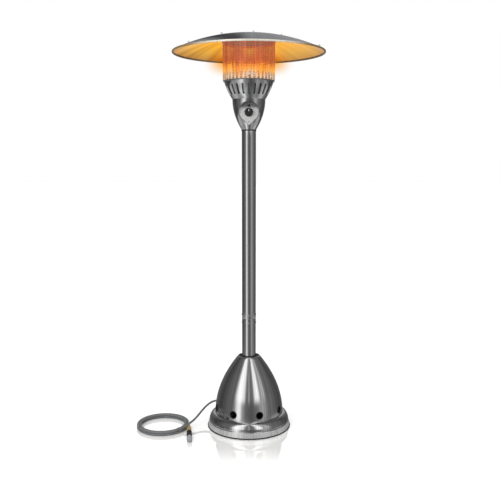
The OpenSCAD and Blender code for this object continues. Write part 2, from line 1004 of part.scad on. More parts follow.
// A smooth curve through the points: where it is at parameter t, from 0 to the last index
function clamp(i, n) = min(max(i, 0), n - 1);
function spline(p, t) =
    let (n = len(p), i = min(floor(t), n - 2), u = t - i,
        a = p[clamp(i - 1, n)], b = p[i], c = p[i + 1], d = p[clamp(i + 2, n)])
    0.5 * (2 * b + (c - a) * u + (2 * a - 5 * b + 4 * c - d) * u * u
        + (3 * b - a - 3 * c + d) * u * u * u);
function unit(v) = v / norm(v);
function heading(path, i) =
    let (n = len(path))
    unit(path[clamp(i + 1, n)] - path[clamp(i - 1, n)]);
function tube_ring(at, dir, r) =
    let (side = unit(cross(dir, [0, 0, 1])), up = cross(side, dir))
    [for (k = [0:tube_sides - 1]) at + r * (cos(k * 360 / tube_sides) * side + sin(k * 360 / tube_sides) * up)];

module hose_tube(points, rings) {
    path = [for (i = [0:rings - 1]) spline(points, i * (len(points) - 1) / (rings - 1))];
    skin = [for (i = [0:rings - 1]) each tube_ring(path[i], heading(path, i), hose_r - 0.1)];
    walls = [
        for (i = [0:rings - 2], k = [0:tube_sides - 1])
            let (a = i * tube_sides + k, b = i * tube_sides + (k + 1) % tube_sides)
            [a, a + tube_sides, b + tube_sides, b]
    ];
    first_end = [for (k = [0:tube_sides - 1]) k];
    last_end = [for (k = [tube_sides - 1:-1:0]) (rings - 1) * tube_sides + k];
    polyhedron(points = skin, faces = concat(walls, [first_end, last_end]));
}

module hose_lead() {
    color(hose_grey)
        hose_tube(lead_points, 20);
}

// Outer shape of the four turns, two wide and two high
module hose_coil() {
    color(hose_grey)
        translate([coil_x, coil_y, 0])
            rotate_extrude($fn = round_fn)
                translate([coil_r - hose_d, 0])
                    polygon([
                        [hose_r / 2, 0],
                        [hose_d * 2 - hose_r / 2, 0],
                        [hose_d * 2, hose_r / 2],
                        [hose_d * 2, hose_d * 2 - hose_r / 2],
                        [hose_d * 2 - hose_r / 2, hose_d * 2],
                        [hose_r / 2, hose_d * 2],
                        [0, hose_d * 2 - hose_r / 2],
                        [0, hose_r / 2]
                    ]);
}

module hose_tail() {
    color(hose_grey)
        hose_tube(tail_points, 6);
}

tie_angle = 48;
tie_w = 12;
tie_t = 1.2;

// Strap round the bundle
module hose_tie() {
    span = hose_d * 2;
    color(hose_grey)
        translate([coil_x, coil_y, 0])
            rotate([0, 0, tie_angle - 90])
                translate([coil_r, 0, 0])
                    difference() {
                        translate([-hose_d - tie_t, -tie_w / 2, 0])
                            cube([span + 2 * tie_t, tie_w, span + tie_t]);
                        translate([-hose_d - 0.3, -tie_w, -1])
                            cube([span + 0.6, tie_w * 2, span + 1.3]);
                    }
}

// Places children at the hose's end, with +Z along the coupler towards its free end
module at_coupler(along) {
    translate(coupler_at)
        rotate([0, 0, coupler_angle])
            rotate([90, 0, 0])
                translate([0, 0, along])
                    children();
}

ferrule_len = 26;
adapter_len = 44;
body_len = 78;
sleeve_len = 58;
cap_len = 40;
sleeve_at = ferrule_len + adapter_len + sleeve_travel + 2;
body_r = 9;
sleeve_end = ferrule_len + adapter_len + body_len;

module hose_ferrule() {
    color(brass)
        at_coupler(0)
            cylinder(r = hose_r + 3, h = ferrule_len, $fn = small_fn);
}

module hex_adapter() {
    color(brass)
        at_coupler(ferrule_len) {
            cylinder(r = sleeve_d / 2, h = 18, $fn = 6);
            translate([0, 0, 18])
                cylinder(r = body_r, h = 8, $fn = small_fn);
            translate([0, 0, 26])
                cylinder(r = sleeve_d / 2, h = adapter_len - 26, $fn = 6);
        }
}

module coupler_body() {
    color(brass)
        at_coupler(ferrule_len + adapter_len)
            difference() {
                cylinder(r = body_r, h = body_len, $fn = small_fn);
                translate([0, 0, body_len - 26])
                    cylinder(r = 6 + run_gap, h = 27, $fn = small_fn);
            }
}

module coupler_sleeve() {
    color(black)
        at_coupler(sleeve_at)
            rotate_extrude($fn = round_fn)
                polygon([
                    [body_r + run_gap, 0],
                    [sleeve_d / 2 - 1, 0],
                    [sleeve_d / 2, 1],
                    [sleeve_d / 2, sleeve_len - 3],
                    [sleeve_d / 2 - 2, sleeve_len],
                    [body_r + run_gap, sleeve_len]
                ]);
}

module dust_cap() {
    color([0.55, 0.57, 0.6])
        at_coupler(sleeve_end) {
            translate([0, 0, -22])
                cylinder(r = 6, h = 23, $fn = small_fn);
            translate([0, 0, 0.3])
                rotate_extrude($fn = round_fn)
                    polygon([
                        [0, 0],
                        [sleeve_d / 2, 0],
                        [sleeve_d / 2, cap_len - 8],
                        [sleeve_d / 2 - 3, cap_len - 3],
                        [sleeve_d / 2 - 7, cap_len],
                        [0, cap_len]
                    ]);
        }
}

edge_trim();
base_plate();
ballast_ring();
base_ring();
pole_foot();
foot_bolts();
bell_cover();
vent_eyelets();
bell_collar();
lower_pole();
upper_pole();
pole_coupling();
pole_screws();
inlet_fitting();
inlet_hose();
hose_grommet();
gas_pipe();
neck_gasket();
head_flange();
control_housing();
recess_liner();
control_panel();
panel_screws();
gas_valve();
valve_bracket();
valve_stem();
stem_spring();
control_knob();
knob_pointer();
igniter_body();
igniter_button();
tilt_switch();
orifice_jet();
venturi_tube();
burner_bowl();
bowl_ring();
burner_plate();
burner_head();
pilot_burner();
thermocouple();
spark_electrode();
emitter_screen();
emitter_cap();
hood_stays();
hood_studs();
hood_panel_a();
hood_panel_b();
hood_panel_c();
crown_cap();
seam_bolts();
hood_nuts();
hose_lead();
hose_coil();
hose_tail();
hose_tie();
hose_ferrule();
hex_adapter();
coupler_body();
coupler_sleeve();
dust_cap();
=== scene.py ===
# %% [markdown]
# # A natural gas patio heater
# A patio heater of this kind is a stack of turned and pressed steel: a weighted base, a bell
# cover, a pole, a tulip-shaped control housing, a slotted burner bowl, a perforated emitter and
# a domed hood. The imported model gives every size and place, so this lesson only makes the looks:
# smooth shells over the plain solids, and a finish for every surface.

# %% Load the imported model
import math

import bmesh
import bpy
from mathutils import Matrix, Vector


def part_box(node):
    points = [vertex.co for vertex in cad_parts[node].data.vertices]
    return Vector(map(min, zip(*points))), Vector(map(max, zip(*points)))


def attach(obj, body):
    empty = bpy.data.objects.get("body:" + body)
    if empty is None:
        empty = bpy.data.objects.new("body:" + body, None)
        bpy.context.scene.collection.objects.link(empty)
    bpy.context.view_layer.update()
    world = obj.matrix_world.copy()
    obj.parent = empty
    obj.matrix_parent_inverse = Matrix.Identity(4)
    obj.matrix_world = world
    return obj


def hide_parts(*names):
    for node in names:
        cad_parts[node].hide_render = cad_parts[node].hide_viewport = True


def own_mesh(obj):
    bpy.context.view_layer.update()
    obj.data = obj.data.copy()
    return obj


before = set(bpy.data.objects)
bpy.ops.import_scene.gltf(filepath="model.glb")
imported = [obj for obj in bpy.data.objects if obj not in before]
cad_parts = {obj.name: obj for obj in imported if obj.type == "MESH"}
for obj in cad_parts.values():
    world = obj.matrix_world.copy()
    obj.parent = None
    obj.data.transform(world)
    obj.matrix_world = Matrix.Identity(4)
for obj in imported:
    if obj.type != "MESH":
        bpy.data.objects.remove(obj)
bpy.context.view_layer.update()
scene = bpy.context.scene

# %% [markdown]
# ## The camera
# A tall, thin object is best seen from a little above its middle and from some way off, so that
# its uprights stay parallel. Tilting the camera down, rather than shifting its lens, gives the
# small taper that a real view of a tall pole has.

# %% Camera
CAMERA_AT = (0.006, -3.771, 1.485)
CAMERA_DOWN = 7.4255
CAMERA_LENS = 49.91

camera_data = bpy.data.cameras.new("studio_camera")
camera_data.lens = CAMERA_LENS
camera_data.sensor_width = 36
camera = bpy.data.objects.new("studio_camera", camera_data)
camera.location = CAMERA_AT
camera.rotation_euler = (math.radians(90 - CAMERA_DOWN), 0, 0)
scene.collection.objects.link(camera)
scene.camera = camera
scene.view_settings.view_transform = "Standard"
print("camera at", CAMERA_AT)

# %% [markdown]
# ## Reading sizes from the frame
# Each node's box says how wide and how high it is. Most of this heater is round about the same
# upright axis, so the highest corner's x is a piece's radius and its two z values are its height.


# %% Sizes
def radius_of(node):
    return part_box(node)[1].x


def bottom_of(node):
    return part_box(node)[0].z


def top_of(node):
    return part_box(node)[1].z


POLE_R = radius_of("lower_pole")
BASE_R = radius_of("edge_trim")
print(f"pole {POLE_R * 2000:.1f} mm across, base {BASE_R * 2000:.0f} mm across")

# %% [markdown]
# ## Node helpers
# A finish is a small network of nodes. Writing one node on one line, with its inputs beside it,
# keeps a network readable. An input that is given a socket is linked, and any other is a value.


# %% Node helpers
def put(tree, kind, inputs=None, **settings):
    node = tree.nodes.new(kind)
    for key, value in settings.items():
        setattr(node, key, value)
    for key, value in (inputs or {}).items():
        if isinstance(value, bpy.types.NodeSocket):
            tree.links.new(value, node.inputs[key])
        else:
            node.inputs[key].default_value = value
    return node


def maths(tree, operation, a, b=0.0):
    return put(tree, "ShaderNodeMath", {0: a, 1: b}, operation=operation).outputs[0]


def spread(tree, value, low, high, to_low=0.0, to_high=1.0):
    """The value, moved smoothly from the range low..high to the range to_low..to_high."""
    ends = {"Value": value, "From Min": low, "From Max": high, "To Min": to_low, "To Max": to_high}
    return put(tree, "ShaderNodeMapRange", ends, interpolation_type="SMOOTHSTEP").outputs[0]


print("node helpers are ready")


# %% Colour helpers
def ramp(tree, factor, stops):
    node = put(tree, "ShaderNodeValToRGB", {"Fac": factor})
    elements = node.color_ramp.elements
    while len(elements) < len(stops):
        elements.new(1.0)
    for element, (position, colour) in zip(elements, stops):
        element.position = position
    for element, (position, colour) in zip(elements, stops):
        element.color = (*colour, 1) if isinstance(colour, tuple) else (colour, colour, colour, 1)
    return node.outputs[0]


def blend_colours(tree, factor, a, b, mode="MIX"):
    node = put(tree, "ShaderNodeMix", {0: factor}, data_type="RGBA", blend_type=mode)
    for socket, value in ((node.inputs[6], a), (node.inputs[7], b)):
        if isinstance(value, bpy.types.NodeSocket):
            tree.links.new(value, socket)
        else:
            socket.default_value = (*value, 1)
    return node.outputs[2]


print("colour helpers are ready")

# %% [markdown]
# ## Shared effects
# Three effects come back in many finishes, so each is a node group that is built once:
# `round_grain` draws lines that run along the heater's axis and are spaced round it,
# `straight_grain` draws noise stretched by a different amount along each axis, and `handling`
# gives the soft cloudy patches that fingers and weather leave on metal and plastic.


# %% Group helper
def new_group(name, inputs, outputs):
    group = bpy.data.node_groups.new(name, "ShaderNodeTree")
    for label, kind, value in inputs:
        socket = group.interface.new_socket(name=label, in_out="INPUT", socket_type=kind)
        socket.default_value = value
    for label, kind in outputs:
        group.interface.new_socket(name=label, in_out="OUTPUT", socket_type=kind)
    return group, group.nodes.new("NodeGroupInput"), group.nodes.new("NodeGroupOutput")


def use_group(tree, group, **inputs):
    node = tree.nodes.new("ShaderNodeGroup")
    node.node_tree = group
    for key, value in inputs.items():
        node.inputs[key].default_value = value
    return node


FLOAT = "NodeSocketFloat"
VECTOR = "NodeSocketVector"
print("group helpers are ready")

# %% Round grain
round_grain, given, result = new_group(
    "round_grain",
    [("Around", FLOAT, 40.0), ("Along", FLOAT, 2.0), ("Detail", FLOAT, 3.0)],
    [("Value", FLOAT)],
)
place = put(round_grain, "ShaderNodeTexCoord").outputs["Object"]
parts = put(round_grain, "ShaderNodeSeparateXYZ", {0: place})
flat = put(round_grain, "ShaderNodeCombineXYZ", {"X": parts.outputs["X"], "Y": parts.outputs["Y"]})
facing = put(round_grain, "ShaderNodeVectorMath", {0: flat.outputs[0]}, operation="NORMALIZE")
wide = put(round_grain, "ShaderNodeVectorMath", {0: facing.outputs[0]}, operation="SCALE")
round_grain.links.new(given.outputs["Around"], wide.inputs["Scale"])
rise = maths(round_grain, "MULTIPLY", parts.outputs["Z"], given.outputs["Along"])
lift = put(round_grain, "ShaderNodeCombineXYZ", {"Z": rise})
where = put(round_grain, "ShaderNodeVectorMath", {0: wide.outputs[0], 1: lift.outputs[0]})
noise = put(round_grain, "ShaderNodeTexNoise", {"Vector": where.outputs[0], "Scale": 1.0})
round_grain.links.new(given.outputs["Detail"], noise.inputs["Detail"])
round_grain.links.new(noise.outputs[0], result.inputs["Value"])
print("made", round_grain.name)

# %% Straight grain
straight_grain, given, result = new_group(
    "straight_grain",
    [("Stretch", VECTOR, (200.0, 200.0, 4.0)), ("Detail", FLOAT, 4.0)],
    [("Value", FLOAT)],
)
place = put(straight_grain, "ShaderNodeTexCoord").outputs["Object"]
scaled = put(straight_grain, "ShaderNodeVectorMath", {0: place}, operation="MULTIPLY")
straight_grain.links.new(given.outputs["Stretch"], scaled.inputs[1])
noise = put(straight_grain, "ShaderNodeTexNoise", {"Vector": scaled.outputs[0], "Scale": 1.0})
straight_grain.links.new(given.outputs["Detail"], noise.inputs["Detail"])
straight_grain.links.new(noise.outputs[0], result.inputs["Value"])
print("made", straight_grain.name)

# %% Handling marks
handling, given, result = new_group(
    "handling",
    [("Size", FLOAT, 6.0), ("From", FLOAT, 0.1), ("To", FLOAT, 0.2)],
    [("Value", FLOAT)],
)
place = put(handling, "ShaderNodeTexCoord").outputs["Object"]
noise = put(handling, "ShaderNodeTexNoise", {"Vector": place, "Detail": 6.0, "Roughness": 0.65})
handling.links.new(given.outputs["Size"], noise.inputs["Scale"])
spread_marks = put(handling, "ShaderNodeMapRange", {"From Min": 0.3, "From Max": 0.7})
handling.links.new(noise.outputs[0], spread_marks.inputs["Value"])
handling.links.new(given.outputs["From"], spread_marks.inputs["To Min"])
handling.links.new(given.outputs["To"], spread_marks.inputs["To Max"])
handling.links.new(spread_marks.outputs[0], result.inputs["Value"])
print("made", handling.name)


# %% [markdown]
# ## Metals
# Stainless steel is a mirror with a history: rolling, brushing and spinning leave fine lines, and
# handling leaves dull patches. So a metal here has a pair of nearby colours mixed by its grain, a
# roughness that drifts with the handling marks, and the same grain again as a very shallow bump.
# The poles and shells use the round grain, because their marks follow the axis. The polished
# bowl and housing are pressed, so they are slightly wavy and break up what they mirror.


# %% Finish helpers
def empty_material(name):
    material = bpy.data.materials.new(name)
    material.use_nodes = True
    material.node_tree.nodes.clear()
    return material, material.node_tree


def new_finish(name, metallic=0.0):
    material, tree = empty_material(name)
    shader = put(tree, "ShaderNodeBsdfPrincipled", {"Metallic": metallic})
    put(tree, "ShaderNodeOutputMaterial", {"Surface": shader.outputs[0]})
    return material, tree, shader


def grained(
    name, grain, dark, light, rough, bump, metallic=1.0, marks=6.0, shine=0.5, deep=0.0004
):
    """A finish whose colour and bump follow a grain group, and whose roughness follows marks."""
    material, tree, shader = new_finish(name, metallic)
    shader.inputs["Specular IOR Level"].default_value = shine
    group, values = grain
    lines = use_group(tree, group, **values).outputs[0]
    even = spread(tree, lines, 0.3, 0.7)
    tree.links.new(blend_colours(tree, even, dark, light), shader.inputs["Base Color"])
    worn = use_group(tree, handling, Size=marks, From=rough[0], To=rough[1])
    tree.links.new(worn.outputs[0], shader.inputs["Roughness"])
    relief = put(tree, "ShaderNodeBump", {"Height": lines, "Strength": bump, "Distance": deep})
    tree.links.new(relief.outputs[0], shader.inputs["Normal"])
    return material


print("finish helpers are ready")


# %% Tinting helpers
def tint(material, axis, low, high, colour):
    """Multiplies a finish's colour by another, more and more from low to high on one axis."""
    tree = material.node_tree
    shader = next(node for node in tree.nodes if node.type == "BSDF_PRINCIPLED")
    plain = shader.inputs["Base Color"].links[0].from_socket
    place = put(tree, "ShaderNodeTexCoord").outputs["Object"]
    along = put(tree, "ShaderNodeSeparateXYZ", {0: place}).outputs[axis]
    amount = spread(tree, along, low, high)
    tinted = blend_colours(tree, amount, plain, colour, "MULTIPLY")
    tree.links.new(tinted, shader.inputs["Base Color"])


def grey(value):
    return (value, value, value)


print("tinting helpers are ready")

# %% Polished steel
pole_steel = grained(
    "pole_steel",
    (round_grain, {"Around": 90.0, "Along": 3.0}),
    grey(0.66), grey(0.82), rough=(0.13, 0.2), bump=0.12,
)
shell_steel = grained(
    "shell_steel",
    (round_grain, {"Around": 34.0, "Along": 1.2}),
    grey(0.6), grey(0.86), rough=(0.1, 0.17), bump=0.1,
)
foot_satin = grained(
    "foot_satin",
    (round_grain, {"Around": 30.0, "Along": 1.5}),
    grey(0.5), grey(0.72), rough=(0.2, 0.32), bump=0.12, metallic=0.5,
)
mirror_steel = grained(
    "mirror_steel",
    (straight_grain, {"Stretch": (26.0, 26.0, 18.0), "Detail": 1.0}),
    grey(0.64), grey(0.9), rough=(0.05, 0.11), bump=0.8, deep=0.0022,
)
hood_steel = grained(
    "hood_steel",
    (round_grain, {"Around": 12.0, "Along": 2.0}),
    (0.5, 0.52, 0.55), (0.62, 0.64, 0.68), rough=(0.1, 0.16), bump=0.12,
)
fastener_steel = grained(
    "fastener_steel",
    (straight_grain, {"Stretch": (900.0, 900.0, 900.0)}),
    grey(0.62), grey(0.78), rough=(0.2, 0.32), bump=0.1, marks=120.0,
)
zinc_plate = grained(
    "zinc_plate",
    (straight_grain, {"Stretch": (130.0, 130.0, 130.0), "Detail": 1.0}),
    (0.34, 0.35, 0.37), (0.46, 0.47, 0.48), rough=(0.32, 0.5), bump=0.1, marks=18.0,
)
print("made the shells' steels")

# %% Satin and drawn steel
satin_panel = grained(
    "satin_panel",
    (straight_grain, {"Stretch": (60.0, 60.0, 2200.0)}),
    grey(0.5), grey(0.62), rough=(0.3, 0.42), bump=0.2, metallic=0.35, marks=40.0,
)
rim_steel = grained(
    "rim_steel",
    (round_grain, {"Around": 60.0, "Along": 40.0}),
    (0.74, 0.68, 0.58), (0.9, 0.84, 0.74), rough=(0.26, 0.4), bump=0.1, metallic=0.5,
)
# Painted light and shade: the rim keeps its pale colour at the front, where the room's light falls on
# it, and is painted darker and browner towards its sides and back, which only see the flames.
tint(rim_steel, "Y", -0.38, -0.26, (0.42, 0.3, 0.16))
PANEL_HEAD = top_of("control_panel")
# Painted shade: the panel is darkened towards its top, where the recess's upper wall shades it.
tint(satin_panel, "Z", PANEL_HEAD - 0.042, PANEL_HEAD - 0.022, grey(0.3))
bright_zinc = grained(
    "bright_zinc",
    (straight_grain, {"Stretch": (500.0, 500.0, 500.0)}),
    grey(0.66), grey(0.82), rough=(0.3, 0.42), bump=0.1, metallic=0.4, marks=60.0,
)
spring_wire = grained(
    "spring_wire",
    (straight_grain, {"Stretch": (1500.0, 1500.0, 1500.0)}),
    grey(0.5), grey(0.68), rough=(0.25, 0.35), bump=0.1, marks=200.0,
)
print("made the other steels")

# %% Other metals
turned_brass = grained(
    "turned_brass",
    (straight_grain, {"Stretch": (260.0, 1600.0, 260.0)}),
    (0.7, 0.46, 0.16), (0.92, 0.68, 0.3), rough=(0.18, 0.32), bump=0.15, metallic=0.75, marks=90.0,
)
cast_iron = grained(
    "cast_iron",
    (straight_grain, {"Stretch": (420.0, 420.0, 420.0), "Detail": 6.0}),
    grey(0.07), grey(0.15), rough=(0.55, 0.75), bump=0.6, metallic=0.6, marks=25.0,
)
copper_tube = grained(
    "copper_tube",
    (straight_grain, {"Stretch": (300.0, 300.0, 300.0)}),
    (0.62, 0.28, 0.16), (0.8, 0.42, 0.26), rough=(0.2, 0.35), bump=0.1, marks=60.0,
)
print("made brass, iron and copper")

# %% [markdown]
# ## Rubber, plastic and ceramic
# The trims, knob and hose cover are not metal, so they have no mirror in them, only a soft sheen.
# Moulded plastic has a faint spark-eroded texture and rubber is duller and dustier.

# %% Soft finishes
trim_rubber = grained(
    "trim_rubber",
    (straight_grain, {"Stretch": (700.0, 700.0, 700.0)}),
    grey(0.012), grey(0.03), rough=(0.45, 0.65), bump=0.25, metallic=0.0, marks=30.0,
)
knob_plastic = grained(
    "knob_plastic",
    (straight_grain, {"Stretch": (1300.0, 1300.0, 1300.0)}),
    grey(0.012), grey(0.022), rough=(0.42, 0.55), bump=0.2, metallic=0.0, marks=60.0, shine=0.3,
)
pointer_paint = grained(
    "pointer_paint",
    (straight_grain, {"Stretch": (900.0, 900.0, 900.0)}),
    grey(0.62), grey(0.72), rough=(0.4, 0.5), bump=0.05, metallic=0.0, marks=80.0,
)
glazed_ceramic = grained(
    "glazed_ceramic",
    (straight_grain, {"Stretch": (400.0, 400.0, 400.0)}),
    (0.78, 0.76, 0.72), (0.88, 0.86, 0.82), rough=(0.12, 0.25), bump=0.05, metallic=0.0,
)
hose_rubber = grained(
    "hose_rubber",
    (straight_grain, {"Stretch": (160.0, 160.0, 160.0), "Detail": 5.0}),
    (0.1, 0.105, 0.11), (0.17, 0.175, 0.18), rough=(0.3, 0.45), bump=0.2, metallic=0.0, marks=14.0,
)
cap_plastic = grained(
    "cap_plastic",
    (straight_grain, {"Stretch": (900.0, 900.0, 900.0)}),
    (0.21, 0.225, 0.24), (0.29, 0.3, 0.32), rough=(0.4, 0.52), bump=0.15, metallic=0.0, marks=60.0,
)
print("made rubber, plastic and ceramic")

# %% [markdown]
# ## Heat
# A lit emitter glows because it is hot, so its colour comes from height: pale where the flames
# leave the burner, yellow and orange where they lick the screen, and copper red above them. The
# flames' tips are uneven, so the height is nudged by a round grain before it picks a colour, and
# a second grain draws brighter and darker upright streaks. The hood's inner face is gold steel with
# the stains that heat leaves on it, and the emitter's light on it is a painted glow, orange near the
# emitter and browner at the rim.

# %% Glowing emitter
EMITTER_FOOT = bottom_of("emitter_screen")
EMITTER_HEAD = top_of("emitter_screen")

glowing_mesh, tree, shader = new_finish("glowing_mesh", metallic=0.8)
place = put(tree, "ShaderNodeTexCoord").outputs["Object"]
sides = put(tree, "ShaderNodeSeparateXYZ", {0: place})
share = put(
    tree, "ShaderNodeMapRange",
    {"Value": sides.outputs["Z"], "From Min": EMITTER_FOOT, "From Max": EMITTER_HEAD},
).outputs[0]
tips = use_group(tree, round_grain, Around=16.0, Along=6.0, Detail=2.0).outputs[0]
nudge = spread(tree, tips, 0.3, 0.7, -0.07, 0.07)
flame = maths(tree, "ADD", share, nudge)
heat = ramp(tree, flame, [
    (0.0, (0.3, 0.2, 0.13)),
    (0.12, (0.56, 0.36, 0.19)),
    (0.17, (0.88, 0.42, 0.06)),
    (0.25, (0.9, 0.38, 0.01)),
    (0.34, (0.86, 0.25, 0.006)),
    (0.39, (0.6, 0.15, 0.03)),
    (0.45, (0.4, 0.082, 0.03)),
    (1.0, (0.38, 0.075, 0.028)),
])
streaks = use_group(tree, round_grain, Around=22.0, Along=0.6, Detail=3.0).outputs[0]
bright = spread(tree, streaks, 0.34, 0.68, 0.0, 1.0)
streaked = blend_colours(tree, bright, (0.66, 0.6, 0.56), (1.4, 1.45, 1.5))
glow = blend_colours(tree, 1.0, heat, streaked, "MULTIPLY")
print("the emitter's colours follow its height")

# %% Flame ports
PORT_BARS = 38.0
around = maths(tree, "ARCTAN2", sides.outputs["X"], sides.outputs["Y"])
wave = maths(tree, "SINE", maths(tree, "MULTIPLY", around, PORT_BARS))
arch = maths(tree, "ADD", maths(tree, "MULTIPLY", wave, 0.05), share)
ports = spread(tree, wave, -0.3, 0.5, 0.0, 1.0)
banded = blend_colours(tree, ports, (0.16, 0.1, 0.06), (0.72, 0.58, 0.42))
low_down = spread(tree, arch, 0.2, 0.1, 0.0, 0.75)
glow = blend_colours(tree, low_down, glow, banded)
tree.links.new(glow, shader.inputs["Emission Color"])
shader.inputs["Emission Strength"].default_value = 1.0
shader.inputs["Base Color"].default_value = (0.3, 0.14, 0.08, 1)
grit = use_group(tree, handling, Size=40.0, From=0.35, To=0.6).outputs[0]
tree.links.new(grit, shader.inputs["Roughness"])
print(f"the emitter glows from {EMITTER_FOOT:.3f} to {EMITTER_HEAD:.3f} m")

# %% Hood lining: heat stains and a painted glow
HOOD_R = radius_of("hood_panel_b")

hood_lining, tree, shader = new_finish("hood_lining", metallic=1.0)
place = put(tree, "ShaderNodeTexCoord").outputs["Object"]
parts = put(tree, "ShaderNodeSeparateXYZ", {0: place})
flat = put(tree, "ShaderNodeCombineXYZ", {"X": parts.outputs["X"], "Y": parts.outputs["Y"]})
out = put(tree, "ShaderNodeVectorMath", {0: flat.outputs[0]}, operation="LENGTH").outputs["Value"]
share = maths(tree, "DIVIDE", out, HOOD_R)
# Painted glow: an emission that stands in for the emitter's light on the lining, orange near the emitter
# and falling off to brown at the rim.
painted_lining_glow = ramp(tree, share, [
    (0.3, (0.93, 0.38, 0.008)),
    (0.6, (0.86, 0.37, 0.012)),
    (0.8, (0.66, 0.32, 0.03)),
    (0.92, (0.5, 0.23, 0.03)),
    (1.0, (0.36, 0.15, 0.02)),
])
stain = use_group(tree, round_grain, Around=5.0, Along=3.0, Detail=4.0).outputs[0]
even = spread(tree, stain, 0.3, 0.7)
patches = blend_colours(tree, even, (0.84, 0.82, 0.8), (1.14, 1.2, 1.5))
painted_lining_glow = blend_colours(tree, 1.0, painted_lining_glow, patches, "MULTIPLY")
tree.links.new(painted_lining_glow, shader.inputs["Emission Color"])
shader.inputs["Emission Strength"].default_value = 1.0
gold = blend_colours(tree, even, (0.6, 0.34, 0.1), (0.76, 0.5, 0.18))
tree.links.new(gold, shader.inputs["Base Color"])
worn = use_group(tree, handling, Size=7.0, From=0.16, To=0.3).outputs[0]
tree.links.new(worn, shader.inputs["Roughness"])
print(f"the hood's lining is {HOOD_R * 2:.3f} m across")

# %% [markdown]
# ## The gas hose
# The hose leaves the bell through a grommet, dips to the floor and is coiled beside the base, with
# its quick coupler at the free end. A real hose has one fixed length, so its line is made first:
# listed points down to the floor, then a loop that winds four turns in two lanes and two layers,
# then a short tail. Where a turn changes lane it rises a little over its neighbour. A curve with a
# round bevel gives the tube, because the line is also what gets measured.

# %% Route of the hose
HOSE_LEAD = [
    (-0.174, 0.089, 0.105), (-0.190, 0.096, 0.102), (-0.207, 0.098, 0.097),
    (-0.223, 0.094, 0.090), (-0.238, 0.084, 0.082), (-0.251, 0.070, 0.074),
    (-0.262, 0.052, 0.067), (-0.272, 0.032, 0.061), (-0.282, 0.011, 0.054),
    (-0.292, -0.011, 0.048), (-0.303, -0.033, 0.042), (-0.316, -0.055, 0.037),
    (-0.331, -0.076, 0.032), (-0.348, -0.096, 0.025), (-0.368, -0.116, 0.018),
]
HOSE_TAIL = [
    (-0.348, 0.0, 0.006), (-0.342, -0.024, 0.007), (-0.337, -0.050, 0.010), (-0.333, -0.080, 0.015),
]
HOSE_D = 0.012
COIL_LOW, COIL_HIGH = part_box("hose_coil")
COIL_AT = (COIL_LOW + COIL_HIGH) / 2
COIL_R = (COIL_HIGH.x - COIL_LOW.x) / 2 - HOSE_D
FIRST_ANGLE = -35
TURNED = 1390
print(f"coil {COIL_R * 2000:.0f} mm across the middle of its turns")


# %% Winding the coil
def ease(t):
    t = min(max(t, 0.0), 1.0)
    return t * t * (3 - 2 * t)


def coil_point(wound):
    """A point of the coil after the hose has wound that many degrees, clockwise from above."""
    lane, rise = 0.0, 0.0
    for change in range(3):
        done = ease((wound - 310 - 360 * change) / 40)
        lane += done
        rise += 0.0025 * math.sin(math.pi * done)
    slant = math.radians(45 + 90 * lane)
    across = HOSE_D / math.sqrt(2)
    r = COIL_R + across * math.cos(slant)
    turn = math.radians(FIRST_ANGLE - wound)
    height = HOSE_D + rise + across * math.sin(slant)
    return (COIL_AT.x + r * math.cos(turn), COIL_AT.y + r * math.sin(turn), height)


def through(points, cuts):
    """The points, with a smooth curve's points between them."""
    made = []
    for i in range(len(points) - 1):
        a, b, c, d = (Vector(points[min(max(k, 0), len(points) - 1)]) for k in range(i - 1, i + 3))
        for step in range(cuts):
            u = step / cuts
            bent = (2 * a - 5 * b + 4 * c - d) * u * u + (3 * b - a - 3 * c + d) * u ** 3
            made.append(tuple(0.5 * (2 * b + (c - a) * u + bent)))
    return made + [points[-1]]


WINDING_STEP = 5
winding = [coil_point(w) for w in range(WINDING_STEP, TURNED, WINDING_STEP)]
hose_line = through(HOSE_LEAD, 4) + winding + through(HOSE_TAIL, 4)

# %% The hose's tube
hose_curve = bpy.data.curves.new("gas_hose", "CURVE")
hose_curve.dimensions = "3D"
hose_curve.bevel_depth = HOSE_D / 2 - 0.0001
hose_curve.bevel_resolution = 4
hose_curve.use_fill_caps = True
spline = hose_curve.splines.new("POLY")
spline.points.add(len(hose_line) - 1)
for point, at in zip(spline.points, hose_line):
    point.co = (*at, 1)
spline.use_smooth = True
hose_curve.materials.append(hose_rubber)
gas_hose = bpy.data.objects.new("gas_hose", hose_curve)
scene.collection.objects.link(gas_hose)
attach(gas_hose, "heater")
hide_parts("hose_lead", "hose_coil", "hose_tail")
print("made gas_hose")

# %% [markdown]
# ## Turning a shell
# Almost every shell of this heater was spun or rolled, so its mesh is made in the same way: draw
# half of its outline, a wall with two sides, and spin it round the axis. A full turn is merged,
# so that no seam is left. A part turn, like a third of the hood, has its two ends filled.


# %% Outline helpers
SHARP = math.radians(34)


def arc(r, z, radius, first, last, steps=6):
    """Points of an arc about (r, z). 0 degrees points away from the axis and 90 points up."""
    turns = [math.radians(first + (last - first) * i / steps) for i in range(steps + 1)]
    return [(r + radius * math.cos(t), z + radius * math.sin(t)) for t in turns]


def levels(first, last, steps):
    return [first + (last - first) * i / steps for i in range(steps + 1)]


def spun(outline, steps=144, first=0.0, sweep=360.0):
    """Spins a closed outline of (radius, height) points. Azimuths count from the front to +X."""
    bm = bmesh.new()
    a = math.radians(first)
    ring = [bm.verts.new((r * math.sin(a), -r * math.cos(a), z)) for r, z in outline]
    edges = [bm.edges.new(pair) for pair in zip(ring, ring[1:] + ring[:1])]
    whole = sweep == 360.0
    bmesh.ops.spin(
        bm, geom=ring + edges, cent=(0, 0, 0), axis=(0, 0, 1),
        angle=math.radians(sweep), steps=steps, use_merge=whole,
    )
    bmesh.ops.remove_doubles(bm, verts=bm.verts, dist=1e-6)
    if not whole:
        ends = [e for e in bm.edges if e.is_boundary]
        bmesh.ops.holes_fill(bm, edges=ends, sides=0)
    bmesh.ops.recalc_face_normals(bm, faces=bm.faces)
    return bm


print("outline helpers are ready")


# %% Joining helpers
def moved(bm, matrix):
    bmesh.ops.transform(bm, matrix=matrix, verts=bm.verts)
    return bm


